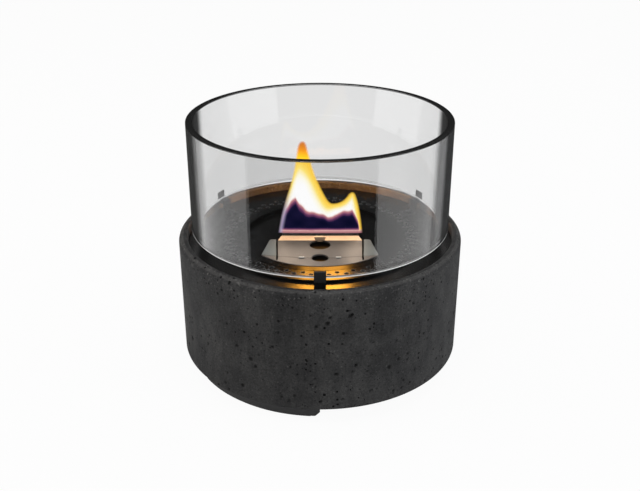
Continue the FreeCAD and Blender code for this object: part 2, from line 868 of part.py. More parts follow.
def make_lid():
    """The sliding lid: bent-down sides, a sloping lip at the back, a hook hole and a tab."""
    body = new_body("snuffer_lid")
    front = -(seam_front + s.slit)
    lip_top = vent_top - s.lip_drop
    profile = add_polygon(new_sketch(body, "YZ_Plane", "lid_profile"), [
        (front, seat_top),
        (-lid_bend, seat_top),
        (lip_end, lip_top - s.plate),
        (lip_end, lip_top),
        (-lid_bend, vent_top),
        (front, vent_top),
    ])
    pad(body, profile, 2 * lid_half_back, "lid_plate", middle=True)
    sides = new_sketch(body, "XY_Plane", "lid_sides")
    for side in (-1, 1):
        add_polygon(sides, [
            (side * lid_half_front, front),
            (side * lid_half_back, -lid_bend),
            (side * (lid_half_back - s.lip_mitre), lip_end),
            (side * (lid_half_back + s.slit), lip_end),
            (side * (lid_half_back + s.slit), front),
        ])
    cut_through(body, sides, "lid_sides_cut")
    trim_at_seam(body, "lid_seam")
    hook_hole = new_sketch(body, "XY_Plane", "lid_hook_hole")
    add_circle(hook_hole, 0, -(lid_bend + hook_hole_radius), hook_hole_radius)
    cut_through(body, hook_hole, "lid_hook_hole_cut")
    notch = new_sketch(body, "XY_Plane", "lid_notch")
    add_circle(notch, 0, -seam_front, s.notch_radius)
    cut_through(body, notch, "lid_notch_cut")
    flange_base = deck_top + s.run_gap
    for side in (-1, 1):
        name = "left" if side < 0 else "right"
        foot = new_sketch(body, "XY_Plane", f"lid_edge_{name}", flange_base)
        add_polygon(foot, [
            (side * lid_half_front, corner_y),
            (side * (lid_half_front - s.plate), corner_y),
            (side * (lid_half_back - s.plate), -lid_bend),
            (side * lid_half_back, -lid_bend),
        ])
        pad(body, foot, seat_top - flange_base, f"lid_flange_{name}")
    tab = add_polygon(new_sketch(body, "XZ_Plane", "tab_outline", lid_bend), [
        (-s.tab_half, vent_top - s.plate / 2),
        (s.tab_half, vent_top - s.plate / 2),
        (s.tab_half + s.tab_flare, vent_top + s.tab_height),
        (-(s.tab_half + s.tab_flare), vent_top + s.tab_height),
    ])
    pad(body, tab, s.plate, "lid_tab", down=True)
    return body


def build():
    """Makes every sub-part and gives the ones to be written."""
    foot_angles = [s.foot_first_angle + THIRD * i + FRONT for i in range(len(FOOT_NAMES))]
    clip_angles = [Size(THIRD * i + FRONT, f"{THIRD * i + FRONT}") for i in range(len(CLIP_NAMES))]
    made = [make_drum()]
    for name, angle in zip(FOOT_NAMES, foot_angles):
        made.append(make_foot(f"foot_{name}", angle))
        made.append(make_foot_pad(f"foot_pad_{name}", angle))
    made += make_foot_fixings(foot_angles)
    made += [make_gasket(), make_pan(), make_vent_plate()]
    for name, angle in zip(CLIP_NAMES, clip_angles):
        made.append(make_clip(f"clip_{name}", angle))
        made.append(make_clip_pad(f"clip_pad_{name}", angle))
    made += make_clip_fixings(clip_angles)
    made += [make_glass(), make_burner_top(), make_tank(), make_collar(), make_wool(), make_screen()]
    made += [make_guide("lid_guide_left", -1), make_guide("lid_guide_right", 1)]
    made += [make_apron(), make_lid()]
    return made


def write(parts):
    """Checks every object and every sub-part's shape, then writes one STEP file each."""
    doc.recompute()
    failed = [o.Name for o in doc.Objects if "Invalid" in o.State or "Error" in o.State]
    if failed:
        raise RuntimeError(f"these objects failed: {failed}")
    for part in parts:
        if part.Shape.isNull() or not part.Shape.isValid():
            raise RuntimeError(f"{part.Label} has no valid shape")
    os.makedirs("parts", exist_ok=True)
    for part in parts:
        part.Shape.exportStep(f"parts/{part.Label}.step")


write(build())
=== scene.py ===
"""Looks of the tabletop fire pit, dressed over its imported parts.

Metres. +Z is up and the front is towards -Y. Lengths of shapes are multiplied by MM. Finishes read places
in plain millimetres.
"""

import logging
import math
from collections.abc import Callable
from dataclasses import dataclass, field
from enum import Enum
from functools import cached_property

import bmesh
import bpy
import numpy as np
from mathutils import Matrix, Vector

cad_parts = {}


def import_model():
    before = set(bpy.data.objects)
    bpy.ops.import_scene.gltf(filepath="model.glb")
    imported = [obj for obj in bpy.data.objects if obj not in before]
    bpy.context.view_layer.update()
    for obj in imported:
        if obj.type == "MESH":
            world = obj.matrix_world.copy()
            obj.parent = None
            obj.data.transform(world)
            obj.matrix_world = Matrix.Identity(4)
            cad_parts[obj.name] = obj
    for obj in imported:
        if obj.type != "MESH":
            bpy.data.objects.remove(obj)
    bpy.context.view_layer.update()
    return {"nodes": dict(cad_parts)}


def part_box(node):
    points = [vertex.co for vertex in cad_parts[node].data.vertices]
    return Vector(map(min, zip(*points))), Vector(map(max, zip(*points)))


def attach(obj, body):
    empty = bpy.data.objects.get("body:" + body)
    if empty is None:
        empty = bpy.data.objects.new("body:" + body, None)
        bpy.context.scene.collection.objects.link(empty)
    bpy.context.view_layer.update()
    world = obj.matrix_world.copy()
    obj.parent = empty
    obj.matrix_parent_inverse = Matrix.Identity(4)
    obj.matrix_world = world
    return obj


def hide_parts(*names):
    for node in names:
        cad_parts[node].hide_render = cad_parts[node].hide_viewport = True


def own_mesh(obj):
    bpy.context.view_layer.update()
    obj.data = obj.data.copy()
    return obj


MM = 0.001
TURN = 2 * math.pi
TINY = 1e-9  # metres, to divide by where a length is nothing
LOG = logging.getLogger("fire_pit")

Colour = tuple[float, float, float, float]
Stops = tuple[tuple[float, Colour], ...]
Point = tuple[float, float]
Span = tuple[float, float]
Place = tuple[float, float, float]

EVEN: Place = (1.0, 1.0, 1.0)
NOWHERE: Span = (500.0, 501.0)  # a span in millimetres that the object doesn't reach


def grey(level: float, warmth: float = 0.0) -> Colour:
    """A neutral colour, a little warm or cool."""
    return (level * (1 + warmth), level, level * (1 - warmth), 1.0)


def smooth(value: np.ndarray, low: float, high: float) -> np.ndarray:
    """A soft step from 0 at low to 1 at high, three t squared minus two t cubed."""
    share = np.clip((value - low) / (high - low), 0.0, 1.0)
    return share * share * (3 - 2 * share)


def math_operator(operation: str, swapped: bool = False) -> Callable[["Socket", object], "Socket"]:
    """An operator for Socket, which adds one Math node.

    Args:
        operation: the Math node's operation.
        swapped: puts the other value first.

    Returns:
        The operator's method.
    """
    def method(self: "Socket", other: object) -> "Socket":
        """Adds the node for this socket and another socket or value."""
        return self.board.math(operation, *((other, self) if swapped else (self, other)))
    return method


@dataclass(frozen=True, eq=False)
class Socket:
    """An output of a node, with operators that add Math nodes."""

    board: "Board"
    link: bpy.types.NodeSocket

    __add__ = math_operator("ADD")
    __radd__ = math_operator("ADD", swapped=True)
    __sub__ = math_operator("SUBTRACT")
    __rsub__ = math_operator("SUBTRACT", swapped=True)
    __mul__ = math_operator("MULTIPLY")
    __rmul__ = math_operator("MULTIPLY", swapped=True)
    __pow__ = math_operator("POWER")

    def step(self, low: float, high: float) -> "Socket":
        """A soft step from 0 at low to 1 at high."""
        limits = {"Value": self, "From Min": low, "From Max": high, "To Min": 0.0, "To Max": 1.0}
        return self.board.node("ShaderNodeMapRange", {"interpolation_type": "SMOOTHSTEP"}, limits)


@dataclass(frozen=True)
class Noise:
    """Soft noise, 0 to 1.

    period is the size of its largest patches in millimetres, detail the number of its finer layers and
    rough their strength. stretch multiplies the place. Where span is given, it holds the values that a
    soft step turns into 0 and 1.
    """

    period: float
    detail: float = 3.0
    rough: float = 0.5
    stretch: Place = EVEN
    span: Span | None = None


@dataclass(frozen=True)
class Pores:
    """Round pores, one in some of the cells of a broken grid.

    cell is the usual distance between cells and size the largest pore's radius, both in millimetres, and
    share says how many of the cells have a pore. fade is where a pore's edge lies, in radii.
    """

    cell: float
    size: float
    share: float
    stretch: Place = EVEN
    fade: Span = (-0.1, 0.25)


@dataclass(frozen=True)
class Relief:
    """A bump: how high 1 stands, in millimetres, and how much of it shows."""

    depth: float
    strength: float = 1.0


class Board:
    """A node tree that is being wired."""

    def __init__(self, tree: bpy.types.NodeTree) -> None:
        """Starts an empty tree."""
        self.tree = tree
        tree.nodes.clear()

    def raw(self, kind: str, settings: dict | None = None, inputs: dict | None = None) -> bpy.types.Node:
        """Adds any node.

        Args:
            kind: the node's type.
            settings: its properties, and stops for a colour ramp.
            inputs: values or sockets by input name or number.

        Returns:
            The node.
        """
        node = self.tree.nodes.new(kind)
        for name, value in (settings or {}).items():
            if name == "stops":
                self._ramp(node, value)
            else:
                setattr(node, name, value)
        for name, value in (inputs or {}).items():
            socket = node.inputs[name]
            if isinstance(value, Socket):
                self.tree.links.new(value.link, socket)
            else:
                socket.default_value = value
        return node

    def _ramp(self, node: bpy.types.Node, stops: Stops) -> None:
        """Sets a colour ramp's stops.

        Args:
            node: the ramp's node.
            stops: each stop's place and colour.
        """
        ramp = node.color_ramp
        while len(ramp.elements) < len(stops):
            ramp.elements.new(1.0)
        for element, (place, colour) in zip(ramp.elements, stops):
            element.position = place
            element.color = colour

    def node(self, kind: str, settings: dict | None = None, inputs: dict | None = None,
             output: int | str = 0) -> Socket:
        """Adds any node and gives one of its outputs.

        Args:
            kind: the node's type.
            settings: its properties, and stops for a colour ramp.
            inputs: values or sockets by input name or number.
            output: the wanted output's name or number.

        Returns:
            That output.
        """
        return Socket(self, self.raw(kind, settings, inputs).outputs[output])

    def math(self, operation: str, *values: object) -> Socket:
        """One Math node on values or sockets."""
        return self.node("ShaderNodeMath", {"operation": operation}, dict(enumerate(values)))

    def mark(self, name: str) -> Socket:
        """A mark that the mesh holds, 0 to 1."""
        return self.node("ShaderNodeAttribute", {"attribute_name": name}, output="Fac")

    def principled(self, inputs: dict) -> Socket:
        """A Principled surface."""
        return self.node("ShaderNodeBsdfPrincipled", inputs=inputs)

    def blend(self, share: Socket, first: Socket, second: Socket) -> Socket:
        """A surface between two others."""
        return self.node("ShaderNodeMixShader", inputs={0: share, 1: first, 2: second})

    def glow(self, level: float) -> Socket:
        """A surface that shines white."""
        return self.node("ShaderNodeEmission", inputs={"Color": grey(1.0), "Strength": level})

    def rays_without(self, *bounces: str) -> Socket:
        """1 for rays that had none of the bounces that are named, and 0 for others.

        Args:
            bounces: outputs of Light Path that count bounces.

        Returns:
            The share.
        """
        counts = self.raw("ShaderNodeLightPath").outputs
        first, *others = (Socket(self, counts[name]) for name in bounces)
        return self.math("LESS_THAN", sum(others, first), 0.5)

    def millimetres(self) -> Socket:
        """The place on the object, in millimetres."""
        place = self.node("ShaderNodeTexCoord", output="Object")
        return self.node("ShaderNodeVectorMath", {"operation": "SCALE"}, {0: place, "Scale": 1 / MM})

    def along(self, place: Socket, axis: str) -> Socket:
        """One coordinate of a place."""
        return self.node("ShaderNodeSeparateXYZ", inputs={0: place}, output=axis)

    def stretched(self, place: Socket, scale: Place) -> Socket:
        """A place with each coordinate multiplied by its own number."""
        settings = {"operation": "MULTIPLY"}
        return place if scale == EVEN else self.node("ShaderNodeVectorMath", settings, {0: place, 1: scale})

    def noise(self, place: Socket, noise: Noise) -> Socket:
        """Soft noise, 0 to 1.

        Args:
            place: where it is read, in millimetres.
            noise: its sizes.

        Returns:
            The noise.
        """
        inputs = {"Vector": self.stretched(place, noise.stretch), "Scale": 1 / noise.period,
                  "Detail": noise.detail, "Roughness": noise.rough}
        found = self.node("ShaderNodeTexNoise", inputs=inputs, output="Fac")
        return found.step(*noise.span) if noise.span else found

    def pores(self, place: Socket, pores: Pores) -> Socket:
        """Round pores, where a chance radius is more than the distance from the cell's middle.

        Args:
            place: where they are read, in millimetres.
            pores: their sizes.

        Returns:
            1 in a pore and 0 outside it.
        """
        inputs = {"Vector": self.stretched(place, pores.stretch), "Scale": 1 / pores.cell}
        cells = self.raw("ShaderNodeTexVoronoi", inputs=inputs)
        away = Socket(self, cells.outputs["Distance"]) * pores.cell
        chance = self.node("ShaderNodeSeparateColor", inputs={0: Socket(self, cells.outputs["Color"])})
        radius = (chance - (1 - pores.share)) * (pores.size / pores.share)
        return (radius - away).step(*(share * pores.size for share in pores.fade))

    def mix(self, share: object, first: object, second: object) -> Socket:
        """A colour between two others."""
        inputs = {0: share, 6: first, 7: second}
        return self.node("ShaderNodeMix", {"data_type": "RGBA"}, inputs, output=2)

    def tint(self, colour: object, factor: object) -> Socket:
        """A colour made lighter or darker by a factor."""
        start = colour if isinstance(colour, Socket) else colour[:3]
        return self.node("ShaderNodeVectorMath", {"operation": "SCALE"}, {0: start, "Scale": factor})

    def ramp(self, value: Socket, stops: Stops) -> Socket:
        """A colour that changes with a value."""
        return self.node("ShaderNodeValToRGB", {"stops": stops}, {0: value})

    def bump(self, height: Socket, relief: Relief, under: Socket | None = None) -> Socket:
        """A normal from a height.

        Args:
            height: the height, 0 to 1.
            relief: its depth and strength.
            under: a normal that this one is laid over.

        Returns:
            The normal.
        """
        inputs = {"Height": height, "Distance": relief.depth * MM, "Strength": relief.strength}
        if under is not None:
            inputs["Normal"] = under
        return self.node("ShaderNodeBump", inputs=inputs)


@dataclass(frozen=True)
class Finish:
    """A surface finish, which makes its material once and dresses pieces with it."""

    name: str = "finish"

    def wire(self, board: Board) -> Socket:
        """Wires the surface."""
        raise NotImplementedError

    def inside(self, board: Board) -> dict[str, Socket]:
        """What the output takes besides the surface, which is nothing on most finishes."""
        return {}

    @cached_property
    def material(self) -> bpy.types.Material:
        """The finish's material, made when it is first asked for.

        Returns:
            The material.
        """
        made = bpy.data.materials.new(self.name)
        made.use_nodes = True
        board = Board(made.node_tree)
        ends = {"Surface": self.wire(board), **self.inside(board)}
        board.raw("ShaderNodeOutputMaterial", inputs=ends)
        return made

    def dress(self, *pieces: bpy.types.Object) -> None:
        """Gives pieces this finish alone.

        Args:
            pieces: the pieces, whose own materials go.
        """
        for piece in pieces:
            piece.data.materials.clear()
            piece.data.materials.append(self.material)


@dataclass(frozen=True)
class CastConcrete(Finish):
    """Dark cast concrete with pores, cloudy patches, dust near the rim and a lighter band along its edge,
    heights in millimetres; the pores and pits are darkened with painted shade.
    """

    name: str = "cast_concrete"
    dark: Colour = (0.026, 0.026, 0.027, 1.0)
    light: Colour = (0.069, 0.068, 0.067, 1.0)
    dust: Colour = (0.16, 0.155, 0.15, 1.0)
    # Painted shade in the pores and in the drum's pits.
    pore_shade_colour: Colour = grey(0.004)
    pit_shade_colour: Colour = grey(0.006)
    clouds: Noise = Noise(34.0, 5.0, 0.62, span=(0.30, 0.72))
    grain: Noise = Noise(1.3, 3.0, 0.8)
    streaks: Noise = Noise(9.0, 4.0, 0.65, stretch=(1.0, 1.0, 0.35), span=(0.35, 0.75))
    wear: Noise = Noise(2.6, 3.0, 0.75, span=(0.58, 0.70))
    airy: Noise = Noise(30.0, 2.0, 0.5, span=(0.36, 0.55))
    big: Pores = Pores(3.0, 1.15, 0.42)
    small: Pores = Pores(1.7, 0.55, 0.34)
    grit: Pores = Pores(2.4, 0.55, 0.30, stretch=(1.0, 1.0, -1.0))
    near_rim: Span = (86.0, 101.0)
    edge_starts: Span = (100.0, 101.0)
    edge_ends: Span = (101.75, 101.95)
    cloud_share: float = 0.6
    streak_share: float = 0.4
    grain_tint: float = 2.0
    grit_share: float = 0.38
    rim_dust: float = 0.62
    wall_dust: float = 0.07
    # How much lighter the grainy band along the rim's edge is.
    edge_lighter: float = 0.5
    small_share: float = 0.7
    pit_shade_share: float = 0.85
    grain_relief: Relief = Relief(0.12, 0.6)
    cloud_relief: Relief = Relief(0.25, 0.35)
    pore_relief: Relief = Relief(0.7)
    roughness: float = 0.70
    grain_gloss: float = 0.2
    ior: float = 1.46
    specular: float = 0.20

    def wire(self, board: Board) -> Socket:
        """Clouds, grain, pale grit, dust near the rim, a lighter grainy band along its edge, and sunk pores
        and pits darkened with painted shade.

        Args:
            board: the material's board.

        Returns:
            The surface.
        """
        place = board.millimetres()
        up = board.along(place, "Z")
        clouds, grain = board.noise(place, self.clouds), board.noise(place, self.grain)
        streaks, wear_and_glint = board.noise(place, self.streaks), board.noise(place, self.wear)
        edge = up.step(*self.edge_starts) * (1.0 - up.step(*self.edge_ends))
        big = board.pores(place, self.big) * board.noise(place, self.airy)
        small, grit = board.pores(place, self.small), board.pores(place, self.grit)
        pore = board.math("MAXIMUM", big, small * self.small_share)
        colour = board.mix(clouds * self.cloud_share + streaks * self.streak_share, self.dark, self.light)
        colour = board.tint(colour, grain * self.grain_tint)
        colour = board.mix(grit * self.grit_share, colour, self.dust)
        dusty = wear_and_glint * (up.step(*self.near_rim) * self.rim_dust + self.wall_dust)
        # A lighter grainy band along the rim's edge.
        colour = board.mix(dusty + edge * (grain * self.edge_lighter), colour, self.dust)
        # Painted shade in the pores and in the drum's pits.
        colour = board.mix(pore, colour, self.pore_shade_colour)
        colour = board.mix(board.mark("pit") * self.pit_shade_share, colour, self.pit_shade_colour)
        relief = board.bump(grain, self.grain_relief)
        relief = board.bump(clouds, self.cloud_relief, relief)
        relief = board.bump(1.0 - pore, self.pore_relief, relief)
        gloss = self.roughness + grain * self.grain_gloss
        return board.principled({"Base Color": colour, "Roughness": gloss, "Normal": relief,
                                 "IOR": self.ior, "Specular IOR Level": self.specular})


@dataclass(frozen=True)
class StovePaint(Finish):
    """Black heat-proof paint on sheet steel, with a fine skin and faint heat marks.

    It is burnt dull below a height and within half a width of the middle, both in millimetres.
    """

    name: str = "stove_paint"
    colour: Colour = grey(0.006)
    # Painted highlight round the holes of a drilled plate.
    hole_glint_colour: Colour = grey(0.12)
    roughness: float = 0.25
    specular: float = 0.50
    burnt_below: float = 0.0
    burnt_half: float = 28.0
    burnt_fade_up: float = 0.2
    burnt_fade_across: float = 1.0
    burnt_gloss: float = 0.2
    skin: Noise = Noise(0.9, 2.0, 0.6)
    skin_relief: Relief = Relief(0.012, 0.25)
    skin_gloss: float = 0.02
    patches: Noise = Noise(26.0, 2.0, 0.4)
    patch_lighter: float = 1.3
    patch_warmth: float = 0.04
    patch_gloss: float = 0.04

    def wear_and_glint(self, board: Board, place: Socket) -> Socket | float:
        """Where a painted highlight lies on the sheet, which is nowhere on most sheets."""
        return 0.0

    def wire(self, board: Board) -> Socket:
        """Paint that is a little uneven in gloss, with a fine pebbled skin, burnt dull round the slot.

        Args:
            board: the material's board.

        Returns:
            The surface.
        """
        place = board.millimetres()
        skin, patches = board.noise(place, self.skin), board.noise(place, self.patches)
        lighter = grey(self.colour[1] * self.patch_lighter, self.patch_warmth)
        colour = board.mix(patches, self.colour, lighter)
        # A painted highlight round the holes, where the sheet is a drilled plate.
        colour = board.mix(self.wear_and_glint(board, place), colour, self.hole_glint_colour)
        across, up = board.math("ABSOLUTE", board.along(place, "X")), board.along(place, "Z")
        burnt = 1.0 - up.step(self.burnt_below, self.burnt_below + self.burnt_fade_up)
        burnt = burnt * (1.0 - across.step(self.burnt_half, self.burnt_half + self.burnt_fade_across))
        gloss = self.roughness - self.patch_gloss / 2 + patches * self.patch_gloss
        gloss = gloss + skin * self.skin_gloss + burnt * self.burnt_gloss
        return board.principled({"Base Color": colour, "Metallic": burnt, "Roughness": gloss,
                                 "Normal": board.bump(skin, self.skin_relief),
                                 "Specular IOR Level": self.specular})


@dataclass(frozen=True)
class DrilledPaint(StovePaint):
    """Stove paint with a painted highlight round the edges of rows of holes, sizes in millimetres."""

    rows: tuple[float, ...] = (66.2, 69.0, 71.8)
    holes: int = 36
    hole_radius: float = 1.6
    # How wide and how soft the painted highlight round each hole is.
    glint_width: float = 0.22
    glint_fade: float = 0.1

    def wear_and_glint(self, board: Board, place: Socket) -> Socket | float:
        """A ring of painted highlight round each hole.

        It reads the distance from the hole's centre: the ways along the row and across it, squared, added
        and rooted.

        Args:
            board: the material's board.
            place: where it is read, in millimetres.

        Returns:
            1 on a ring and 0 off it.
        """
        x, y = board.along(place, "X"), board.along(place, "Y")
        radius = (x * x + y * y) ** 0.5
        turn = board.math("ARCTAN2", y, x) * (self.holes / TURN)
        rim, end = self.hole_radius, self.hole_radius + self.glint_width
        rings: Socket | float = 0.0
        for number, row in enumerate(self.rows):
            half_pitch = 0.5 + number % 2 * 0.5
            along = board.math("FRACT", turn + (self.holes + half_pitch)) - 0.5
            along, across = along * (TURN * row / self.holes), radius - row
            away = (along * along + across * across) ** 0.5
            ring = away.step(rim - self.glint_fade, rim) * (1.0 - away.step(end, end + self.glint_fade))
            rings = ring + rings
        return rings


@dataclass(frozen=True)
class SatinSteel(Finish):
    """Ground stainless steel: fine lines across, a soft sheen, soot towards the flame, a painted glow of the
    flame on the lip and a painted highlight on the stops.

    soot, lip and stop_back are spans from front to back, and stop is a span of heights, in millimetres.
    """

    name: str = "satin_steel"
    colour: Colour = (0.205, 0.19, 0.185, 1.0)
    sooty: Colour = (0.10, 0.088, 0.082, 1.0)
    # Painted glow of the flame's light on the lip.
    lip_glow_colour: Colour = (1.0, 0.66, 0.40, 1.0)
    # Painted highlight on the stops.
    stop_highlight_colour: Colour = (0.92, 0.90, 0.86, 1.0)
    metal: float = 0.45
    roughness: float = 0.42
    soot: Span = NOWHERE
    lip: Span = NOWHERE
    stop: Span = NOWHERE
    stop_back: Span = (-38.5, -30.0)
    soot_least: float = 0.75
    lines: Noise = Noise(0.35, 2.0, 0.6, stretch=(0.03, 1.0, 1.0))
    line_relief: Relief = Relief(0.02, 0.25)
    line_tint: float = 0.18
    line_gloss: float = 0.05
    smudges: Noise = Noise(7.0, 4.0, 0.6, span=(0.35, 0.7))
    smudge_tint: float = 0.10
    smudge_gloss: float = 0.10
    darkest: float = 0.86

    def wire(self, board: Board) -> Socket:
        """Lines across the lid, smudges, soot that grows towards the slot, a painted flame glow on the lip
        and a painted highlight on the stops.

        Args:
            board: the material's board.

        Returns:
            The surface.
        """
        place = board.millimetres()
        lines, smudges = board.noise(place, self.lines), board.noise(place, self.smudges)
        back, up = board.along(place, "Y"), board.along(place, "Z")
        lip = back.step(*self.lip)
        stop = up.step(*self.stop) * (1.0 - back.step(*self.stop_back))
        soot = back.step(*self.soot) * (self.soot_least + smudges * (1 - self.soot_least))
        # The lip takes a painted glow of the flame's light, without metal.
        colour = board.mix(lip, board.mix(soot, self.colour, self.sooty), self.lip_glow_colour)
        # The stops take a painted highlight, without metal.
        colour = board.mix(stop, colour, self.stop_highlight_colour)
        colour = board.tint(colour, self.darkest + lines * self.line_tint + smudges * self.smudge_tint)
        gloss = self.roughness - self.smudge_gloss / 2 + smudges * self.smudge_gloss
        return board.principled({"Base Color": colour, "Metallic": self.metal * (1.0 - lip - stop),
                                 "Roughness": gloss + lines * self.line_gloss,
                                 "Normal": board.bump(lines, self.line_relief)})


@dataclass(frozen=True)
class MouldedPlastic(Finish):
    """Matt moulded plastic with a fine spark-eroded grain."""

    name: str = "moulded_plastic"
    colour: Colour = (0.050, 0.050, 0.051, 1.0)
    roughness: float = 0.55
    grain: Noise = Noise(0.5, 2.0, 0.6)
    grain_relief: Relief = Relief(0.04, 0.5)
    grain_gloss: float = 0.12
    flow: Noise = Noise(22.0, 3.0, 0.5)
    darkest: float = 0.85
    uneven: float = 0.15

    def wire(self, board: Board) -> Socket:
        """A fine grain over faint flow marks.

        Args:
            board: the material's board.

        Returns:
            The surface.
        """
        place = board.millimetres()
        grain, flow = board.noise(place, self.grain), board.noise(place, self.flow)
        colour = board.tint(self.colour, self.darkest + grain * self.uneven + flow * self.uneven)
        return board.principled({"Base Color": colour, "Roughness": self.roughness + grain * self.grain_gloss,
                                 "Normal": board.bump(grain, self.grain_relief)})


@dataclass(frozen=True)
class FibreWool(Finish):
    """Pale ceramic wool, its fibres lying in two directions."""

    name: str = "fibre_wool"
    colour: Colour = (0.74, 0.72, 0.67, 1.0)
    scorched: Colour = (0.20, 0.17, 0.13, 1.0)
    across: Noise = Noise(0.6, 3.0, 0.7, stretch=(0.12, 1.0, 1.0))
    along: Noise = Noise(0.6, 3.0, 0.7, stretch=(1.0, 0.12, 1.0))
    scorch: Noise = Noise(16.0, 4.0, 0.6, span=(0.5, 0.75))
    scorch_share: float = 0.5
    darkest: float = 0.7
    fibre_tint: float = 0.5
    fibre_relief: Relief = Relief(0.4, 0.8)
    roughness: float = 0.95

    def wire(self, board: Board) -> Socket:
        """Two sets of stretched noise for the fibres, scorched in patches.

        Args:
            board: the material's board.

        Returns:
            The surface.
        """
        place = board.millimetres()
        fibre = (board.noise(place, self.across) + board.noise(place, self.along)) * 0.5
        colour = board.mix(board.noise(place, self.scorch) * self.scorch_share, self.colour, self.scorched)
        colour = board.tint(colour, self.darkest + fibre * self.fibre_tint)
        return board.principled({"Base Color": colour, "Roughness": self.roughness,
                                 "Normal": board.bump(fibre, self.fibre_relief)})


@dataclass(frozen=True)
class TubeGlass(Finish):
    """Clear glass whose wall takes a little light, with painted shade where it is seen edge on and at its cut
    rim, and a painted glow on its pale ground foot.
    """

    name: str = "tube_glass"
    ior: float = 1.47
    left_over: Colour = (0.10, 0.11, 0.11, 1.0)
    taken_per_metre: float = 44.0
    drawn: Noise = Noise(24.0, 1.0, 0.4, stretch=(1.0, 1.0, 0.08))
    drawn_relief: Relief = Relief(0.02, 0.2)
    # Facing values where the painted shade of the edge-on wall starts and is full.
    edge: Span = (0.62, 0.74)
    edge_shade_share: float = 0.94
    rim_shade_share: float = 0.80
    # Colour of the painted shade on the edge-on wall and the cut rim.
    dark: Colour = grey(0.016)
    shade_least: float = 0.8
    shade_uneven: float = 0.4
    foot: Colour = grey(0.90)
    foot_grain: Noise = Noise(1.2)
    foot_least: float = 0.9
    foot_uneven: float = 0.2
    # Painted glow on the ground foot, which is no lamp.
    foot_painted_glow: float = 0.30
    ground_roughness: float = 0.5

    def wire(self, board: Board) -> Socket:
        """A smooth clear wall, faintly uneven as drawn glass is, over painted shade at the rim and where the
        wall is seen edge on, and a pale ground foot with a painted glow.

        Args:
            board: the material's board.

        Returns:
            The surface.
        """
        place = board.millimetres()
        drawn, grain = board.noise(place, self.drawn), board.noise(place, self.foot_grain)
        facing = board.node("ShaderNodeLayerWeight", inputs={"Blend": 0.5}, output="Facing")
        # Painted shade where the wall is seen edge on and on its cut rim.
        share = facing.step(*self.edge) * self.edge_shade_share
        share = board.math("MAXIMUM", share, board.mark("rim") * self.rim_shade_share)
        clear = board.principled({"Base Color": grey(1.0), "Roughness": 0.0, "IOR": self.ior,
                                  "Transmission Weight": 1.0,
                                  "Normal": board.bump(drawn, self.drawn_relief)})
        # The painted shade: a near-black, dull surface.
        dark = board.tint(self.dark, self.shade_least + drawn * self.shade_uneven)
        dark = board.principled({"Base Color": dark, "Roughness": self.ground_roughness,
                                 "Specular IOR Level": 0.0})
        # The ground foot: pale as ground glass is, with a painted glow.
        pale = board.tint(self.foot, self.foot_least + grain * self.foot_uneven)
        pale = board.principled({"Base Color": pale, "Roughness": self.ground_roughness,
                                 "Emission Color": grey(1.0), "Emission Strength": self.foot_painted_glow})
        return board.blend(board.mark("foot"), board.blend(share, clear, dark), pale)

    def inside(self, board: Board) -> dict[str, Socket]:
        """The light that the wall takes."""
        inputs = {"Color": self.left_over, "Density": self.taken_per_metre}
        return {"Volume": board.node("ShaderNodeVolumeAbsorption", inputs=inputs)}


@dataclass(frozen=True)
class FlameGas(Finish):
    """The flame: white heart, yellow and orange edges, and an indigo foot with pink borders."""

    name: str = "flame_gas"
    brightness: float = 1.28
    hot: Stops = (
        (0.0, (0.48, 0.13, 0.015, 1.0)),
        (0.16, (0.72, 0.25, 0.012, 1.0)),
        (0.36, (0.98, 0.55, 0.02, 1.0)),
        (0.58, (1.0, 0.78, 0.18, 1.0)),
        (0.80, (1.0, 0.95, 0.74, 1.0)),
        (1.0, (1.0, 1.0, 1.0, 1.0)),
    )
    foot: Stops = (
        (0.0, (1.0, 0.74, 0.62, 1.0)),
        (0.25, (0.50, 0.20, 0.235, 1.0)),
        (0.48, (0.17, 0.050, 0.13, 1.0)),
        (0.76, (0.011, 0.008, 0.040, 1.0)),
        (1.0, (0.002, 0.0025, 0.018, 1.0)),
    )
    foot_starts: Span = (0.0, 0.22)
    veil: Colour = (0.46, 0.40, 0.62, 1.0)

    def lit(self, board: Board, colour: Socket, cover: Socket) -> Socket:
        """A surface that only glows, as far as it covers.

        Args:
            board: the material's board.
            colour: what it glows with.
            cover: how far it covers, 0 to 1.

        Returns:
            The surface.
        """
        return board.principled({"Base Color": grey(0.0), "Roughness": 1.0, "Specular IOR Level": 0.0,
                                 "Emission Color": colour, "Emission Strength": self.brightness,
                                 "Alpha": cover})

    def wire(self, board: Board) -> Socket:
        """Gas coloured by its warmth, then the indigo foot with its pink border, then the lilac veil.

        Args:
            board: the material's board.

        Returns:
            The surface.
        """
        heat, indigo, lilac = (board.mark(name) for name in ("warmth", "indigo", "lilac"))
        hot, foot = board.ramp(heat, self.hot), board.ramp(indigo, self.foot)
        colour = board.mix(indigo.step(*self.foot_starts), hot, foot)
        return self.lit(board, board.mix(lilac, colour, self.veil), board.mark("cover"))


class Side(Enum):
    """The side of the flame that a light shines from."""

    BOTH = "both"
    FRONT = "front"
    BACK = "back"


@dataclass(frozen=True)
class FlameLight(FlameGas):
    """The light that the flame gives to what is round it, which the clear glass doesn't mirror."""

    name: str = "flame_light"
    brightness: float = 2.0
    gold: Colour = (1.0, 0.50, 0.10, 1.0)
    side: Side = Side.BOTH
    dark_foot: Span = (0.02, 0.20)

    def wire(self, board: Board) -> Socket:
        """Golden light, none from the indigo foot, that isn't there for a perfect mirror's rays.

        Args:
            board: the material's board.

        Returns:
            The surface.
        """
        mirror = board.node("ShaderNodeLightPath", output="Is Singular Ray")
        outward = 1.0 - board.node("ShaderNodeNewGeometry", output="Backfacing")
        back = board.mark("back")
        from_side = {Side.BOTH: 1.0, Side.FRONT: 1.0 - back, Side.BACK: back * outward}[self.side]
        glowing = 1.0 - board.mark("indigo").step(*self.dark_foot)
        gold = board.tint(self.gold, glowing * from_side)
        return self.lit(board, gold, board.mark("cover") * (1.0 - mirror))


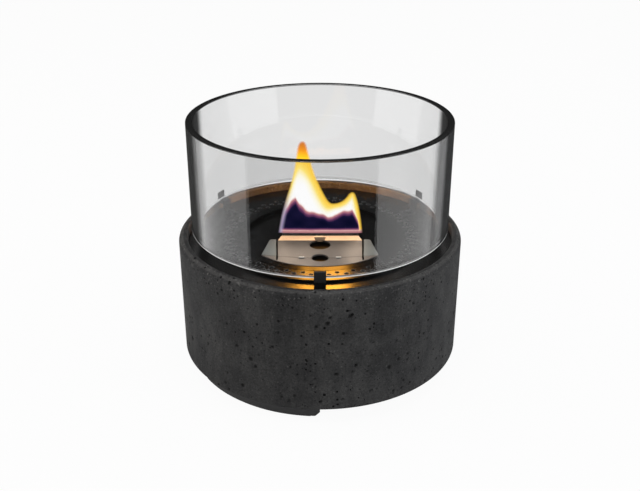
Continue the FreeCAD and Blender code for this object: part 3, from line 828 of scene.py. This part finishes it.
@dataclass
class Grid:
    """A surface on a grid of two parameters, as one array of points."""

    points: np.ndarray
    loop_rows: bool = False
    loop_columns: bool = False
    attributes: dict[str, np.ndarray] = field(default_factory=dict)

    def faces(self) -> np.ndarray:
        """The four-sided faces between neighbouring grid points.

        Returns:
            Four point numbers for each face.
        """
        rows, columns = self.points.shape[:2]
        row = np.arange(rows if self.loop_rows else rows - 1)
        column = np.arange(columns if self.loop_columns else columns - 1)
        r, c = np.meshgrid(row, column, indexing="ij")
        r_next, c_next = (r + 1) % rows, (c + 1) % columns
        corners = (r * columns + c, r_next * columns + c, r_next * columns + c_next, r * columns + c_next)
        return np.stack(corners, axis=-1).reshape(-1, 4)

    def mesh(self, name: str) -> bpy.types.Mesh:
        """Puts the grid into a smooth mesh.

        Args:
            name: the mesh's name.

        Returns:
            The mesh, with its attributes.
        """
        mesh = bpy.data.meshes.new(name)
        mesh.from_pydata(self.points.reshape(-1, 3), [], self.faces())
        for label, values in self.attributes.items():
            layer = mesh.attributes.new(label, "FLOAT", "POINT")
            layer.data.foreach_set("value", values.astype(np.float32).ravel())
        mesh.shade_smooth()
        mesh.update()
        return mesh


def place_piece(name: str, mesh: bpy.types.Mesh) -> bpy.types.Object:
    """Makes the object for a mesh whose place is already in its points.

    Args:
        name: the object's name.
        mesh: its mesh.

    Returns:
        The object.
    """
    piece = bpy.data.objects.new(name, mesh)
    bpy.context.scene.collection.objects.link(piece)
    return piece


def merge_points(mesh: bpy.types.Mesh, distance: float = 1e-6) -> None:
    """Joins the points that lie together, so that seams and poles are closed.

    Args:
        mesh: the mesh, which is changed.
        distance: how far apart joined points may lie.
    """
    work = bmesh.new()
    work.from_mesh(mesh)
    bmesh.ops.remove_doubles(work, verts=work.verts, dist=distance)
    bmesh.ops.dissolve_degenerate(work, edges=work.edges, dist=distance)
    work.to_mesh(mesh)
    work.free()
    mesh.shade_smooth()


def arc(centre: Point, radius: float, start: float, end: float, count: int) -> np.ndarray:
    """Points on an arc in the profile's plane, centre plus radius times cosine and sine.

    Args:
        centre: the arc's centre, as radius and height.
        radius: its radius.
        start: its first angle, in degrees.
        end: its last angle, in degrees.
        count: how many points it has.

    Returns:
        An array of points.
    """
    angle = np.radians(np.linspace(start, end, count))
    return np.stack([centre[0] + radius * np.cos(angle), centre[1] + radius * np.sin(angle)], axis=-1)


def run(start: Point, end: Point, step: float) -> np.ndarray:
    """Points on a straight run, start plus a share of the way to end, without its last point.

    Args:
        start: its first point, as radius and height.
        end: the point where it ends.
        step: the usual distance between its points.

    Returns:
        An array of points.
    """
    count = max(2, round(math.dist(start, end) / step))
    share = np.linspace(0.0, 1.0, count, endpoint=False)[:, None]
    return np.array(start) * (1 - share) + np.array(end) * share


def turned(profile: np.ndarray, count: int) -> np.ndarray:
    """Turns a profile of radius and height about Z: x = r cos a, y = r sin a, z = height.

    Args:
        profile: the profile's points.
        count: how many columns the turn has.

    Returns:
        The grid of points.
    """
    angle = np.linspace(0.0, TURN, count, endpoint=False)[:, None]
    radius, height = profile[None, :, 0], profile[None, :, 1]
    return np.stack([radius * np.cos(angle), radius * np.sin(angle), height + 0 * angle], axis=-1)


@dataclass
class ConcreteDrum:
    """The cast drum, with cast-in pits.

    Pits lie at heights from a beta distribution, and their radii, in millimetres, are even between two
    sizes, lengthened by an exponential share.
    """

    finish: Finish
    rim_round: float = 4.5 * MM
    rim_inner_round: float = 1.2 * MM
    base_round: float = 0.8 * MM
    rim_width: float = 6.5 * MM
    bowl_wall: float = 15.0 * MM
    ledge_drop: float = 7.9 * MM
    bowl_floor: float = 16.0 * MM
    around: int = 660
    rim_points: int = 10
    round_points: int = 5
    wall_step: float = 0.95 * MM
    rim_step: float = 2 * MM
    ledge_step: float = 4 * MM
    hidden_step: float = 9.0 * MM
    pits: int = 150
    pit_heights: tuple[float, float] = (1.3, 1.9)
    pit_sizes: Span = (0.75, 1.0)
    pit_spread: float = 0.3
    pit_depth: float = 0.75
    pit_mark: Span = (0.02, 0.5)
    seed: int = 14

    def profile(self) -> np.ndarray:
        """The drum's section, from the middle of its underside round to the middle of its bowl.

        Returns:
            Points of radius and height.
        """
        low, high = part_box("concrete_body")
        radius, base, top = high.y, low.z, high.z
        rim, bowl = radius - self.rim_width, radius - self.bowl_wall
        ledge, floor = top - self.ledge_drop, base + self.bowl_floor
        outer, inner, foot = self.rim_round, self.rim_inner_round, self.base_round
        return np.concatenate([
            run((0.0, base), (radius - foot, base), self.hidden_step),
            arc((radius - foot, base + foot), foot, -90, 0, self.round_points),
            run((radius, base + foot), (radius, top - outer), self.wall_step)[1:],
            arc((radius - outer, top - outer), outer, 0, 90, self.rim_points),
            arc((rim + inner, top - inner), inner, 90, 180, self.round_points),
            run((rim, top - inner), (rim, ledge), self.rim_step)[1:],
            run((rim, ledge), (bowl, ledge), self.ledge_step),
            run((bowl, ledge), (bowl, floor), self.hidden_step),
            run((bowl, floor), (0.0, floor), self.hidden_step),
            np.array([(0.0, floor)]),
        ])

    def sink(self, points: np.ndarray) -> np.ndarray:
        """How deep the pits are at each point, 0 to 1: a round dent, one minus distance squared.

        Args:
            points: the grid of the turned drum.

        Returns:
            The depth at each point, as a share of a pit's depth.
        """
        low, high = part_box("concrete_body")
        dice = np.random.default_rng(self.seed)
        depth = np.zeros(points.shape[:2])
        radius = high.y
        for _ in range(self.pits):
            angle = dice.uniform(0, TURN)
            height = low.z + (high.z - low.z) * dice.beta(*self.pit_heights)
            size = dice.uniform(*self.pit_sizes) * MM * (1 + dice.exponential(self.pit_spread))
            centre = np.array([radius * math.cos(angle), radius * math.sin(angle), height])
            away = np.linalg.norm(points - centre, axis=-1) / size
            depth = np.maximum(depth, np.clip(1 - away * away, 0, 1))
        return depth

    def build(self) -> bpy.types.Object:
        """Makes the drum and lets it stand for its plain solid.

        Returns:
            The drum.
        """
        points = turned(self.profile(), self.around)
        depth = self.sink(points)
        across = points * (1, 1, 0)
        length = np.maximum(np.linalg.norm(across, axis=-1, keepdims=True), TINY)
        points = points - across / length * (depth * self.pit_depth * MM)[..., None]
        grid = Grid(points, loop_rows=True, attributes={"pit": smooth(depth, *self.pit_mark)})
        mesh = grid.mesh("pored_drum")
        merge_points(mesh)
        piece = place_piece("pored_drum", mesh)
        self.finish.dress(piece)
        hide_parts("concrete_body")
        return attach(piece, "base")


@dataclass
class GlassTube:
    """The glass cylinder, with ground and fire-polished edges."""

    finish: Finish
    wall: float = 5.0 * MM
    edge: float = 0.6 * MM
    fade: float = 0.3 * MM
    # Share of the rim's painted shade that lies on its top face.
    rim_top: float = 0.10
    step: float = 8 * MM
    around: int = 288
    round_points: int = 5

    def profile(self) -> np.ndarray:
        """The wall's section, a tall slot shape with small rounded corners.

        Returns:
            Points of radius and height.
        """
        low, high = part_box("glass_cylinder")
        outside, base, top = high.y, low.z, high.z
        inside, edge, count = outside - self.wall, self.edge, self.round_points
        under_rim, over_foot = top - edge - self.fade, base + edge + self.fade
        return np.concatenate([
            arc((outside - edge, base + edge), edge, -90, 0, count),
            run((outside, over_foot), (outside, under_rim), self.step),
            np.array([(outside, under_rim)]),
            arc((outside - edge, top - edge), edge, 0, 90, count),
            arc((inside + edge, top - edge), edge, 90, 180, count),
            run((inside, under_rim), (inside, over_foot), self.step),
            np.array([(inside, over_foot)]),
            arc((inside + edge, base + edge), edge, 180, 270, count),
        ])

    def marks(self, points: np.ndarray) -> dict[str, np.ndarray]:
        """Where the rim with its painted shade and the ground foot with its painted glow lie.

        Args:
            points: the tube's grid.

        Returns:
            The rim and the foot, each 0 to 1.
        """
        low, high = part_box("glass_cylinder")
        height, hair = points[..., 2], self.fade / 2
        rim = np.where(height > high.z - self.edge - hair, 1.0, 0.0)
        rim = np.where(height > high.z - hair, self.rim_top, rim)
        outer = np.linalg.norm(points[..., :2], axis=-1) > high.y - self.edge - hair
        foot = np.where(outer & (height < low.z + self.edge + hair), 1.0, 0.0)
        return {"rim": rim, "foot": foot}

    def build(self) -> bpy.types.Object:
        """Makes the tube and lets it stand for its plain solid.

        Returns:
            The tube.
        """
        points = turned(self.profile(), self.around)
        grid = Grid(points, loop_rows=True, loop_columns=True, attributes=self.marks(points))
        piece = place_piece("clear_tube", grid.mesh("clear_tube"))
        self.finish.dress(piece)
        piece.visible_shadow = False
        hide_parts("glass_cylinder")
        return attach(piece, "glass")


@dataclass(frozen=True)
class FlameMarks:
    """What the gas reads over the flame's face.

    Spans are in millimetres: of height over the table, of depth from the left or right flank, or of place
    along the slot. indigo_top is the height of the indigo foot at places along the slot.
    """

    indigo_top: tuple[Point, ...] = (
        (-31.0, 99.0), (-26.0, 112.0), (-22.0, 118.6), (-18.2, 121.5), (-15.5, 117.0), (-11.0, 112.4),
        (-1.5, 110.6), (5.5, 107.4), (9.5, 107.4), (14.0, 110.6), (24.1, 112.4), (28.5, 105.0),
        (30.5, 97.0),
    )
    tip_heights: Span = (150.0, 168.0)
    edge_warmth: float = 0.42
    tip_cooler: float = 0.40
    core_left: Span = (-1.0, 5.0)
    core_right: Span = (0.5, 11.0)
    core_right_less: float = 4.5
    low_tongue: Span = (4.0, 12.0)
    dim_heights: Span = (134.0, 156.0)
    dim_share: float = 0.9
    ripple: float = 0.8
    ripple_lengths: Span = (1.7, 4.1)
    ripple_start: float = 1.0
    crisp_places: Span = (-14.0, 0.0)
    crisp_more: float = 0.45
    indigo_below: Span = (-6.5, 5.5)
    indigo_heights: Span = (96.4, 101.5)
    indigo_left: Span = (0.6, 2.8)
    indigo_right: Span = (1.4, 3.0)
    mottle: float = 0.07
    mottle_lengths: Span = (3.1, 2.3)
    mottle_start: float = 0.6
    slot_heights: Span = (96.4, 99.6)
    slot_share: float = 0.24
    lilac_left: Span = (0.8, 4.4)
    lilac_heights: Span = (112.0, 134.0)
    lilac_share: float = 0.9
    cover_depths: Span = (-0.4, 2.3)
    tip_thinner: float = 0.12
    lilac_thinner: float = 0.45
    foot_heights: Span = (95.3, 97.3)
    foot_cover: float = 0.45

    def indigo(self, x: np.ndarray, z: np.ndarray, left: np.ndarray, right: np.ndarray) -> np.ndarray:
        """The indigo foot: soft steps below its rippled top and in from both flanks, a little mottled.

        Args:
            x: each point's place along the slot.
            z: its height.
            left: its depth from the left flank.
            right: its depth from the right flank.

        Returns:
            The indigo, 0 to 1.
        """
        short, long = self.ripple_lengths
        top = np.interp(x, *np.array(self.indigo_top).T)
        top = top + self.ripple * np.sin(x / short) * np.sin(x / long + self.ripple_start)
        below = (top - z) * (1 + self.crisp_more * smooth(x, *self.crisp_places))
        indigo = smooth(below, *self.indigo_below) * smooth(z, *self.indigo_heights)
        indigo = indigo * smooth(left, *self.indigo_left) * smooth(right, *self.indigo_right)
        along, up = self.mottle_lengths
        mottled = np.sin(x / along + self.mottle_start) * np.sin(z / up)
        indigo = indigo * (1 - self.mottle + self.mottle * mottled)
        return np.maximum(indigo, (1 - smooth(z, *self.slot_heights)) * self.slot_share)

    def at(self, x: np.ndarray, z: np.ndarray, left: np.ndarray,
           right: np.ndarray) -> dict[str, np.ndarray]:
        """All marks, soft steps of the depths from both flanks and of the height.

        Args:
            x: each point's place along the slot.
            z: its height.
            left: its depth from the left flank.
            right: its depth from the right flank.

        Returns:
            The warmth, the indigo, the lilac and the cover, each 0 to 1.
        """
        high = smooth(z, *self.tip_heights)
        cool = self.edge_warmth - self.tip_cooler * high
        near, far = self.core_right
        far = far - self.core_right_less * smooth(x, *self.low_tongue)
        core = smooth(left, *self.core_left) * smooth(right, near, far)
        warmth = cool + (1 - cool) * core * (1 - self.dim_share * smooth(z, *self.dim_heights))
        lilac = 1 - smooth(left, *self.lilac_left)
        lilac = lilac * (1 - smooth(z, *self.lilac_heights)) * self.lilac_share
        cover = smooth(np.minimum(left, right), *self.cover_depths)
        cover = cover * (1 - self.tip_thinner * high) * (1 - self.lilac_thinner * lilac)
        cover = cover * (self.foot_cover + (1 - self.foot_cover) * smooth(z, *self.foot_heights))
        return {"warmth": warmth, "indigo": self.indigo(x, z, left, right), "lilac": lilac, "cover": cover}


@dataclass
class Flame:
    """The flame over the slot: a curtain with a tall and a low tongue, and the light that it gives.

    outline holds places along the slot and heights over the table, in millimetres.
    """

    gas: Finish
    colouring: FlameMarks = FlameMarks()
    outline: tuple[Point, ...] = (
        (-31.9, 95.5), (-29.3, 109.6), (-26.1, 121.8), (-22.4, 133.7), (-19.6, 145.5), (-17.6, 157.0),
        (-16.6, 163.6), (-15.0, 167.0), (-12.6, 168.2), (-10.1, 166.4), (-8.4, 160.0), (-5.8, 150.0),
        (-2.0, 138.6), (3.4, 126.4), (7.6, 119.9), (12.3, 119.3), (16.9, 121.2), (19.9, 124.4),
        (22.0, 127.3), (24.3, 128.4), (26.4, 126.9), (28.4, 121.0), (30.0, 113.4), (31.3, 105.0),
        (32.4, 95.5),
    )
    columns: int = 150
    rows: int = 64
    middle: float = 6.4 * MM
    thick: float = 8.0 * MM
    hair: float = 0.1 * MM
    round_off: float = 4 * MM
    top_thinner: float = 0.35
    top_power: int = 20
    end_power: int = 8
    foot_thick: float = 0.12
    foot_height: float = 12 * MM
    sway: float = 1.4 * MM
    sway_length: float = 9 * MM
    light_thick: float = 0.6
    sink: float = 0.45 * MM
    keep: float = 0.004

    def edge(self) -> np.ndarray:
        """The outline as a smooth curve: cubics through the points, their slopes from the neighbours.

        Returns:
            One point for each column.
        """
        points = np.array(self.outline) * MM
        padded = np.concatenate([points[:1], points, points[-1:]])
        share = np.linspace(0, len(points) - 1, self.columns)
        cell = np.minimum(share.astype(int), len(points) - 2)
        t = (share - cell)[:, None]
        a, b, c, d = (padded[cell + k] for k in range(4))
        return 0.5 * (2 * b + (c - a) * t + (2 * a - 5 * b + 4 * c - d) * t ** 2
                      + (3 * b - a - 3 * c + d) * t ** 3)

    def distance(self, x: np.ndarray, z: np.ndarray, edge: np.ndarray) -> np.ndarray:
        """How far each point lies from a curve: the least distance to its straight pieces.

        Args:
            x: each point's place along the slot.
            z: its height.
            edge: the curve's points.

        Returns:
            The distances.
        """
        place = np.stack([x, z], axis=-1)[..., None, :]
        start, way = edge[:-1], np.diff(edge, axis=0)
        share = np.clip(((place - start) * way).sum(-1) / (way ** 2).sum(-1), 0, 1)
        return np.linalg.norm(place - start - share[..., None] * way, axis=-1).min(axis=-1)

    def marks(self, x: np.ndarray, z: np.ndarray) -> dict[str, np.ndarray]:
        """What the gas reads, from the depths on both sides of the tip.

        Args:
            x: each point's place along the slot.
            z: its height.

        Returns:
            The marks.
        """
        edge = self.edge()
        tip = int(edge[:, 1].argmax())
        left, right = self.distance(x, z, edge[:tip + 1]), self.distance(x, z, edge[tip:])
        return self.colouring.at(x / MM, z / MM, left / MM, right / MM)

    def sheet(self, inset: float, thick: float, filled: float) -> tuple[np.ndarray, dict[str, np.ndarray]]:
        """One closed curtain.

        It swells with one minus e to the minus depth from the outline, thins towards its foot, its top and
        its ends, and sways as a sine of the place along the slot that grows with the height squared.

        Args:
            inset: how far its edge stays inside the outline.
            thick: how thick it is in its middle.
            filled: the least height of its top, as a share of the tip's.

        Returns:
            Its grid, columns along the slot and rows up the front and down the back, and its marks.
        """
        edge = self.edge()
        base = edge[0, 1]
        share = np.linspace(0, 1, self.rows)[None, :]
        x = edge[:, :1] * (1 - inset) + 0 * share
        rise = np.maximum(edge[:, 1:] - base, (edge[:, 1].max() - base) * filled)
        z = base + rise * (1 - inset) * share
        depth = self.distance(x, z, edge)
        foot = self.foot_thick + (1 - self.foot_thick) * smooth(z - base, 0.0, self.foot_height)
        ends = 1 - np.linspace(-1, 1, self.columns)[:, None] ** self.end_power
        swell = thick / 2 * (1 - np.exp(-depth / self.round_off)) * (1 - self.top_thinner * share) * foot
        swell = (swell + self.hair * (1 - share ** self.top_power)) * ends
        middle = self.middle + self.sway * np.sin(x / self.sway_length) * share ** 2 * ends
        front = np.stack([x, middle - swell, z], axis=-1)
        back = np.stack([x, middle + swell, z], axis=-1)
        points = np.concatenate([front, back[:, ::-1]], axis=1)
        marks = {name: np.concatenate([m, m[:, ::-1]], axis=1) for name, m in self.marks(x, z).items()}
        marks["back"] = np.concatenate([0 * x, 0 * x + 1], axis=1)
        return points, marks

    def piece(self, name: str, inset: float, thick: float, filled: float = 0.0) -> bpy.types.Object:
        """Makes one curtain, which rides on the burner.

        Args:
            name: the piece's name.
            inset: how far its edge stays inside the outline.
            thick: how thick it is.
            filled: the least height of its top, as a share of the tip's.

        Returns:
            The piece.
        """
        points, marks = self.sheet(inset, thick, filled)
        mesh = Grid(points, loop_columns=True, attributes=marks).mesh(name)
        merge_points(mesh)
        made = place_piece(name, mesh)
        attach(made, "burner")
        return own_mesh(made)

    def light(self, finish: Finish, lit: list[bpy.types.Object], glossy: bool = False, diffuse: bool = False,
              inset: float = 0.02, filled: float = 0.0) -> bpy.types.Object:
        """Makes one light of the flame, which isn't seen itself.

        Args:
            finish: the light's finish, whose name is also the piece's.
            lit: the only pieces that it lights.
            glossy: whether glossy surfaces show it.
            diffuse: whether matt surfaces are lit by it.
            inset: how far its edge stays inside the outline.
            filled: the least height of its top, as a share of the tip's.

        Returns:
            The piece.
        """
        made = self.piece(finish.name, inset, self.thick * self.light_thick, filled)
        finish.dress(made)
        made.visible_camera = made.visible_transmission = made.visible_shadow = False
        made.visible_glossy, made.visible_diffuse = glossy, diffuse
        receivers = bpy.data.collections.new(f"lit_by_{finish.name}")
        for piece in lit:
            receivers.objects.link(piece)
        made.light_linking.receiver_collection = receivers
        return made

    def build(self, painted: list[bpy.types.Object], steel: list[bpy.types.Object],
              drum: bpy.types.Object) -> list[bpy.types.Object]:
        """Makes the flame that is seen, and its lights.

        Args:
            painted: the black sheet pieces that shine in the flame's light.
            steel: the steel pieces of the burner's cover.
            drum: the drum, whose rim glows behind the flame.

        Returns:
            The pieces.
        """
        seen = self.piece("flame", 0.0, self.thick)
        self.gas.dress(seen)
        seen.visible_glossy = seen.visible_diffuse = seen.visible_shadow = False
        heart = FlameLight("flame_heart", brightness=7.4, gold=(1.0, 0.80, 0.60, 1.0))
        front = FlameLight("flame_front_light", brightness=24.0, gold=(1.0, 0.42, 0.045, 1.0),
                           side=Side.FRONT)
        back = FlameLight("flame_back_light", brightness=150.0, gold=(1.0, 0.42, 0.085, 1.0),
                          side=Side.BACK)
        return [
            seen,
            self.light(heart, steel, glossy=True, diffuse=True, filled=0.7),
            self.light(front, painted, glossy=True, inset=0.3, filled=1.15),
            self.light(back, [drum], diffuse=True),
        ]


class PackedPieces:
    """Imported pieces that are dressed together."""

    def outfit(self) -> tuple[tuple[str, Finish], ...]:
        """How names of pieces start, each with its finish, the longer of two like starts first."""
        raise NotImplementedError

    def dress(self, nodes: dict[str, bpy.types.Object]) -> list[str]:
        """Gives each piece the finish of the first start that fits its name.

        Args:
            nodes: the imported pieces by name.

        Returns:
            The names of the dressed pieces.
        """
        dressed: list[str] = []
        for start, finish in self.outfit():
            found = [name for name in sorted(nodes) if name.startswith(start) and name not in dressed]
            finish.dress(*(nodes[name] for name in found))
            dressed += found
        return dressed


@dataclass
class Burner(PackedPieces):
    """The burner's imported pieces: black top, can, collar, screen, wool, and the steel cover."""

    paint: Finish
    steel: Finish
    wings: Finish
    plain: Finish
    wool: Finish

    def outfit(self) -> tuple[tuple[str, Finish], ...]:
        """The burner's pieces.

        Returns:
            How their names start, each with its finish.
        """
        return (("burner_top", self.paint), ("snuffer_lid", self.steel), ("lid_apron", self.steel),
                ("lid_guide_", self.wings), ("burner_tank", self.plain), ("slot_collar", self.plain),
                ("wool_screen", self.plain), ("fuel_wool", self.wool))


@dataclass
class Base(PackedPieces):
    """What stands with the drum: pan, plate, clips, feet, pads and fasteners."""

    paint: Finish
    plate_paint: Finish
    clip_paint: Finish
    plain: Finish
    blacked: Finish
    rubber: Finish
    plastic: Finish

    def outfit(self) -> tuple[tuple[str, Finish], ...]:
        """The base's pieces.

        Returns:
            How their names start, each with its finish, the longer of two like starts first.
        """
        return (("liner_pan", self.paint), ("vent_plate", self.plate_paint), ("clip_screws", self.blacked),
                ("clip_nuts", self.blacked), ("foot_screws", self.plain), ("clip_pad_", self.rubber),
                ("foot_pad_", self.rubber), ("rim_gasket", self.rubber), ("wall_plugs", self.plastic),
                ("clip_", self.clip_paint), ("foot_", self.plastic))


@dataclass(frozen=True)
class StudioFloor(Finish):
    """The studio's floor, which looks white and keeps a share of the object's shadow."""

    name: str = "studio_floor"
    colour: Colour = grey(0.86)
    kept: float = 0.05

    def wire(self, board: Board) -> Socket:
        """White, but plain after any bounce and in the share that keeps the shadow.

        Args:
            board: the material's board.

        Returns:
            The surface.
        """
        share = board.rays_without("Diffuse Depth", "Glossy Depth") * (1 - self.kept)
        plain = board.node("ShaderNodeBsdfDiffuse", inputs={"Color": self.colour})
        return board.blend(share, plain, board.glow(1.0))


@dataclass(frozen=True)
class StudioCard(Finish):
    """A card that shows only in what glossy surfaces mirror, so that nothing is seen of it through glass."""

    level: float = 1.0

    def wire(self, board: Board) -> Socket:
        """Clear, and shining after a glossy bounce."""
        clear = board.node("ShaderNodeBsdfTransparent")
        return board.blend(board.rays_without("Glossy Depth"), board.glow(self.level), clear)


@dataclass(frozen=True)
class Card:
    """A card that the glass mirrors between two upright lines, given in degrees from the front."""

    name: str
    left: float
    right: float
    level: float


@dataclass
class Lamp:
    """A soft studio lamp that points at the object."""

    name: str
    place: Place
    size: float
    power: float
    colour: tuple[float, float, float] = (1.0, 1.0, 1.0)
    target: Place = (0.0, 0.0, 0.09)

    def build(self) -> bpy.types.Object:
        """Makes the lamp.

        Returns:
            The lamp.
        """
        data = bpy.data.lights.new(self.name, "AREA")
        data.shape = "DISK"
        data.size = self.size
        data.energy = self.power
        data.color = self.colour
        lamp = bpy.data.objects.new(self.name, data)
        lamp.location = self.place
        way = Vector(self.target) - Vector(self.place)
        lamp.rotation_euler = way.to_track_quat("-Z", "Y").to_euler()
        lamp.visible_camera = False
        bpy.context.scene.collection.objects.link(lamp)
        return lamp


@dataclass
class Camera:
    """The photograph's camera, worked out from the ellipses of the object's rims.

    lens and sensor are in millimetres, and pitch is how far it looks down, in degrees.
    """

    lens: float = 49.5
    sensor: float = 36.0
    pitch: float = 25.01
    place: Place = (0.0, -0.6043, 0.3689)
    nearest: float = 0.01

    def build(self) -> bpy.types.Object:
        """Makes the camera and gives it to the scene.

        Returns:
            The camera.
        """
        data = bpy.data.cameras.new("photo_camera")
        data.lens = self.lens
        data.sensor_width = self.sensor
        data.clip_start = self.nearest
        camera = bpy.data.objects.new("photo_camera", data)
        camera.location = self.place
        camera.rotation_euler = (math.radians(90 - self.pitch), 0.0, 0.0)
        bpy.context.scene.collection.objects.link(camera)
        bpy.context.scene.camera = camera
        return camera


@dataclass
class Studio:
    """The white studio: floor, surroundings, lamps, and a dark and two pale cards that the glass mirrors.

    card_reach says how far the cards reach, from where a line's foot is mirrored (0) to its top (1).
    """

    floor_half: float = 6.0
    around_level: float = 0.40
    mirror_level: float = 0.12
    card_height: float = 0.4 * MM
    card_lines: int = 9
    card_reach: Span = (-0.5, 1.5)
    cards: tuple[Card, ...] = (
        Card("dark_card", -29.8, 22.8, 0.02),
        Card("left_panel", -60.0, -29.8, 1.6),
        Card("right_panel", 22.8, 52.5, 1.6),
    )
    lamps: tuple[Lamp, ...] = field(default_factory=lambda: (
        Lamp("left_lamp", (-1.5, -0.1, 0.6), 0.8, 7.0, (1.0, 0.97, 0.93)),
        Lamp("right_lamp", (1.5, -0.4, 0.6), 0.8, 7.0, (0.90, 0.95, 1.0)),
        Lamp("top_lamp", (0.0, -0.2, 1.9), 1.2, 9.0),
    ))

    def sheet(self, points: np.ndarray, finish: Finish) -> bpy.types.Object:
        """Makes a flat piece of the studio.

        Args:
            points: its grid.
            finish: its finish, whose name is also the piece's.

        Returns:
            The piece.
        """
        made = place_piece(finish.name, Grid(points).mesh(finish.name))
        finish.dress(made)
        return made

    def floor(self) -> bpy.types.Object:
        """Makes the floor."""
        half = self.floor_half
        rows = [[(x, y, 0.0) for y in (-half, half)] for x in (-half, half)]
        return self.sheet(np.array(rows), StudioFloor())

    def surroundings(self) -> None:
        """White surroundings, with a softer light on the object and dim mirrored ones."""
        world = bpy.data.worlds.new("studio_white")
        world.use_nodes = True
        board = Board(world.node_tree)
        shown = board.rays_without("Diffuse Depth", "Glossy Depth")
        mirrored = board.rays_without("Diffuse Depth")
        strength = mirrored * (self.mirror_level - self.around_level) + self.around_level
        strength = shown * (1 - self.mirror_level) + strength
        shade = board.node("ShaderNodeBackground", inputs={"Color": grey(1.0), "Strength": strength})
        board.raw("ShaderNodeOutputWorld", inputs={"Surface": shade})
        bpy.context.scene.world = world

    def mirrored_line(self, camera: bpy.types.Object, angle: float) -> np.ndarray:
        """Where the floor is that the glass mirrors to the camera along one upright line.

        Args:
            camera: the camera that looks at the glass.
            angle: the line's place on the glass, in degrees from the front.

        Returns:
            The mirrored places of the line's top and foot on the floor.
        """
        low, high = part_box("glass_cylinder")
        turn = math.radians(angle)
        normal = Vector((math.sin(turn), -math.cos(turn), 0.0))
        found = []
        for height in (high.z, low.z):
            spot = normal * high.y + Vector((0, 0, height))
            way = (spot - camera.location).normalized().reflect(normal)
            found.append(spot + way * (-spot.z / way.z))
        return np.array(found)

    def card(self, camera: bpy.types.Object, card: Card) -> bpy.types.Object:
        """A card on the floor in front, which the glass mirrors between two upright lines.

        It reaches past where the foot and the top of each line are mirrored: near + share * (far - near).

        Args:
            camera: the camera that looks at the glass.
            card: the card's name, edges and brightness.

        Returns:
            The card.
        """
        angles = np.linspace(card.left, card.right, self.card_lines)
        far, near = np.stack([self.mirrored_line(camera, angle) for angle in angles], axis=1)
        points = np.stack([near + share * (far - near) for share in self.card_reach], axis=1)
        points[..., 2] = self.card_height
        made = self.sheet(points, StudioCard(card.name, card.level))
        made.visible_camera = made.visible_diffuse = made.visible_shadow = False
        return made

    def build(self) -> None:
        """Makes the whole studio."""
        camera = Camera().build()
        self.floor()
        self.surroundings()
        for card in self.cards:
            self.card(camera, card)
        for lamp in self.lamps:
            lamp.build()
        bpy.context.scene.view_settings.view_transform = "Standard"


def main() -> None:
    """Builds and dresses every piece, then the studio."""
    logging.basicConfig(level=logging.INFO, format="%(message)s")
    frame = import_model()
    nodes = frame["nodes"]

    plain = SatinSteel("plain_steel", colour=(0.5, 0.5, 0.49, 1.0), metal=1.0)
    # The lid's lip takes a painted flame glow and its stops a painted highlight.
    lid = SatinSteel(soot=(-32.0, -15.0), lip=(-13.3, -12.5), stop=(98.2, 98.3))
    wings = SatinSteel("wing_steel", colour=(0.22, 0.25, 0.26, 1.0), sooty=(0.21, 0.22, 0.22, 1.0),
                       soot=lid.soot)
    burner_paint = StovePaint("burner_paint", specular=0.12, burnt_below=97.2)
    burner = Burner(paint=burner_paint, steel=lid, wings=wings, plain=plain, wool=FibreWool())
    LOG.info("burner: %s", ", ".join(burner.dress(nodes)))
    base = Base(
        paint=StovePaint(),
        plate_paint=DrilledPaint("plate_paint", specular=0.22),
        clip_paint=StovePaint("clip_paint", colour=(0.014, 0.015, 0.017, 1.0), roughness=0.42),
        plain=plain,
        blacked=SatinSteel("blacked_screw", colour=(0.02, 0.02, 0.021, 1.0), metal=0.2),
        rubber=MouldedPlastic("black_rubber", colour=grey(0.018), roughness=0.7),
        plastic=MouldedPlastic(),
    )
    LOG.info("base: %s", ", ".join(base.dress(nodes)))
    drum = ConcreteDrum(CastConcrete()).build()
    LOG.info("drum: %s", drum.name)
    LOG.info("glass: %s", GlassTube(TubeGlass()).build().name)
    black = ("burner_top", "liner_pan", "vent_plate", "clip_front", "clip_left", "clip_right")
    steel = ("snuffer_lid", "lid_guide_left", "lid_guide_right", "lid_apron")
    flame = Flame(FlameGas()).build([nodes[n] for n in black], [nodes[n] for n in steel], drum)
    LOG.info("flame: %s", ", ".join(piece.name for piece in flame))
    Studio().build()


if __name__ == "__main__":
    main()
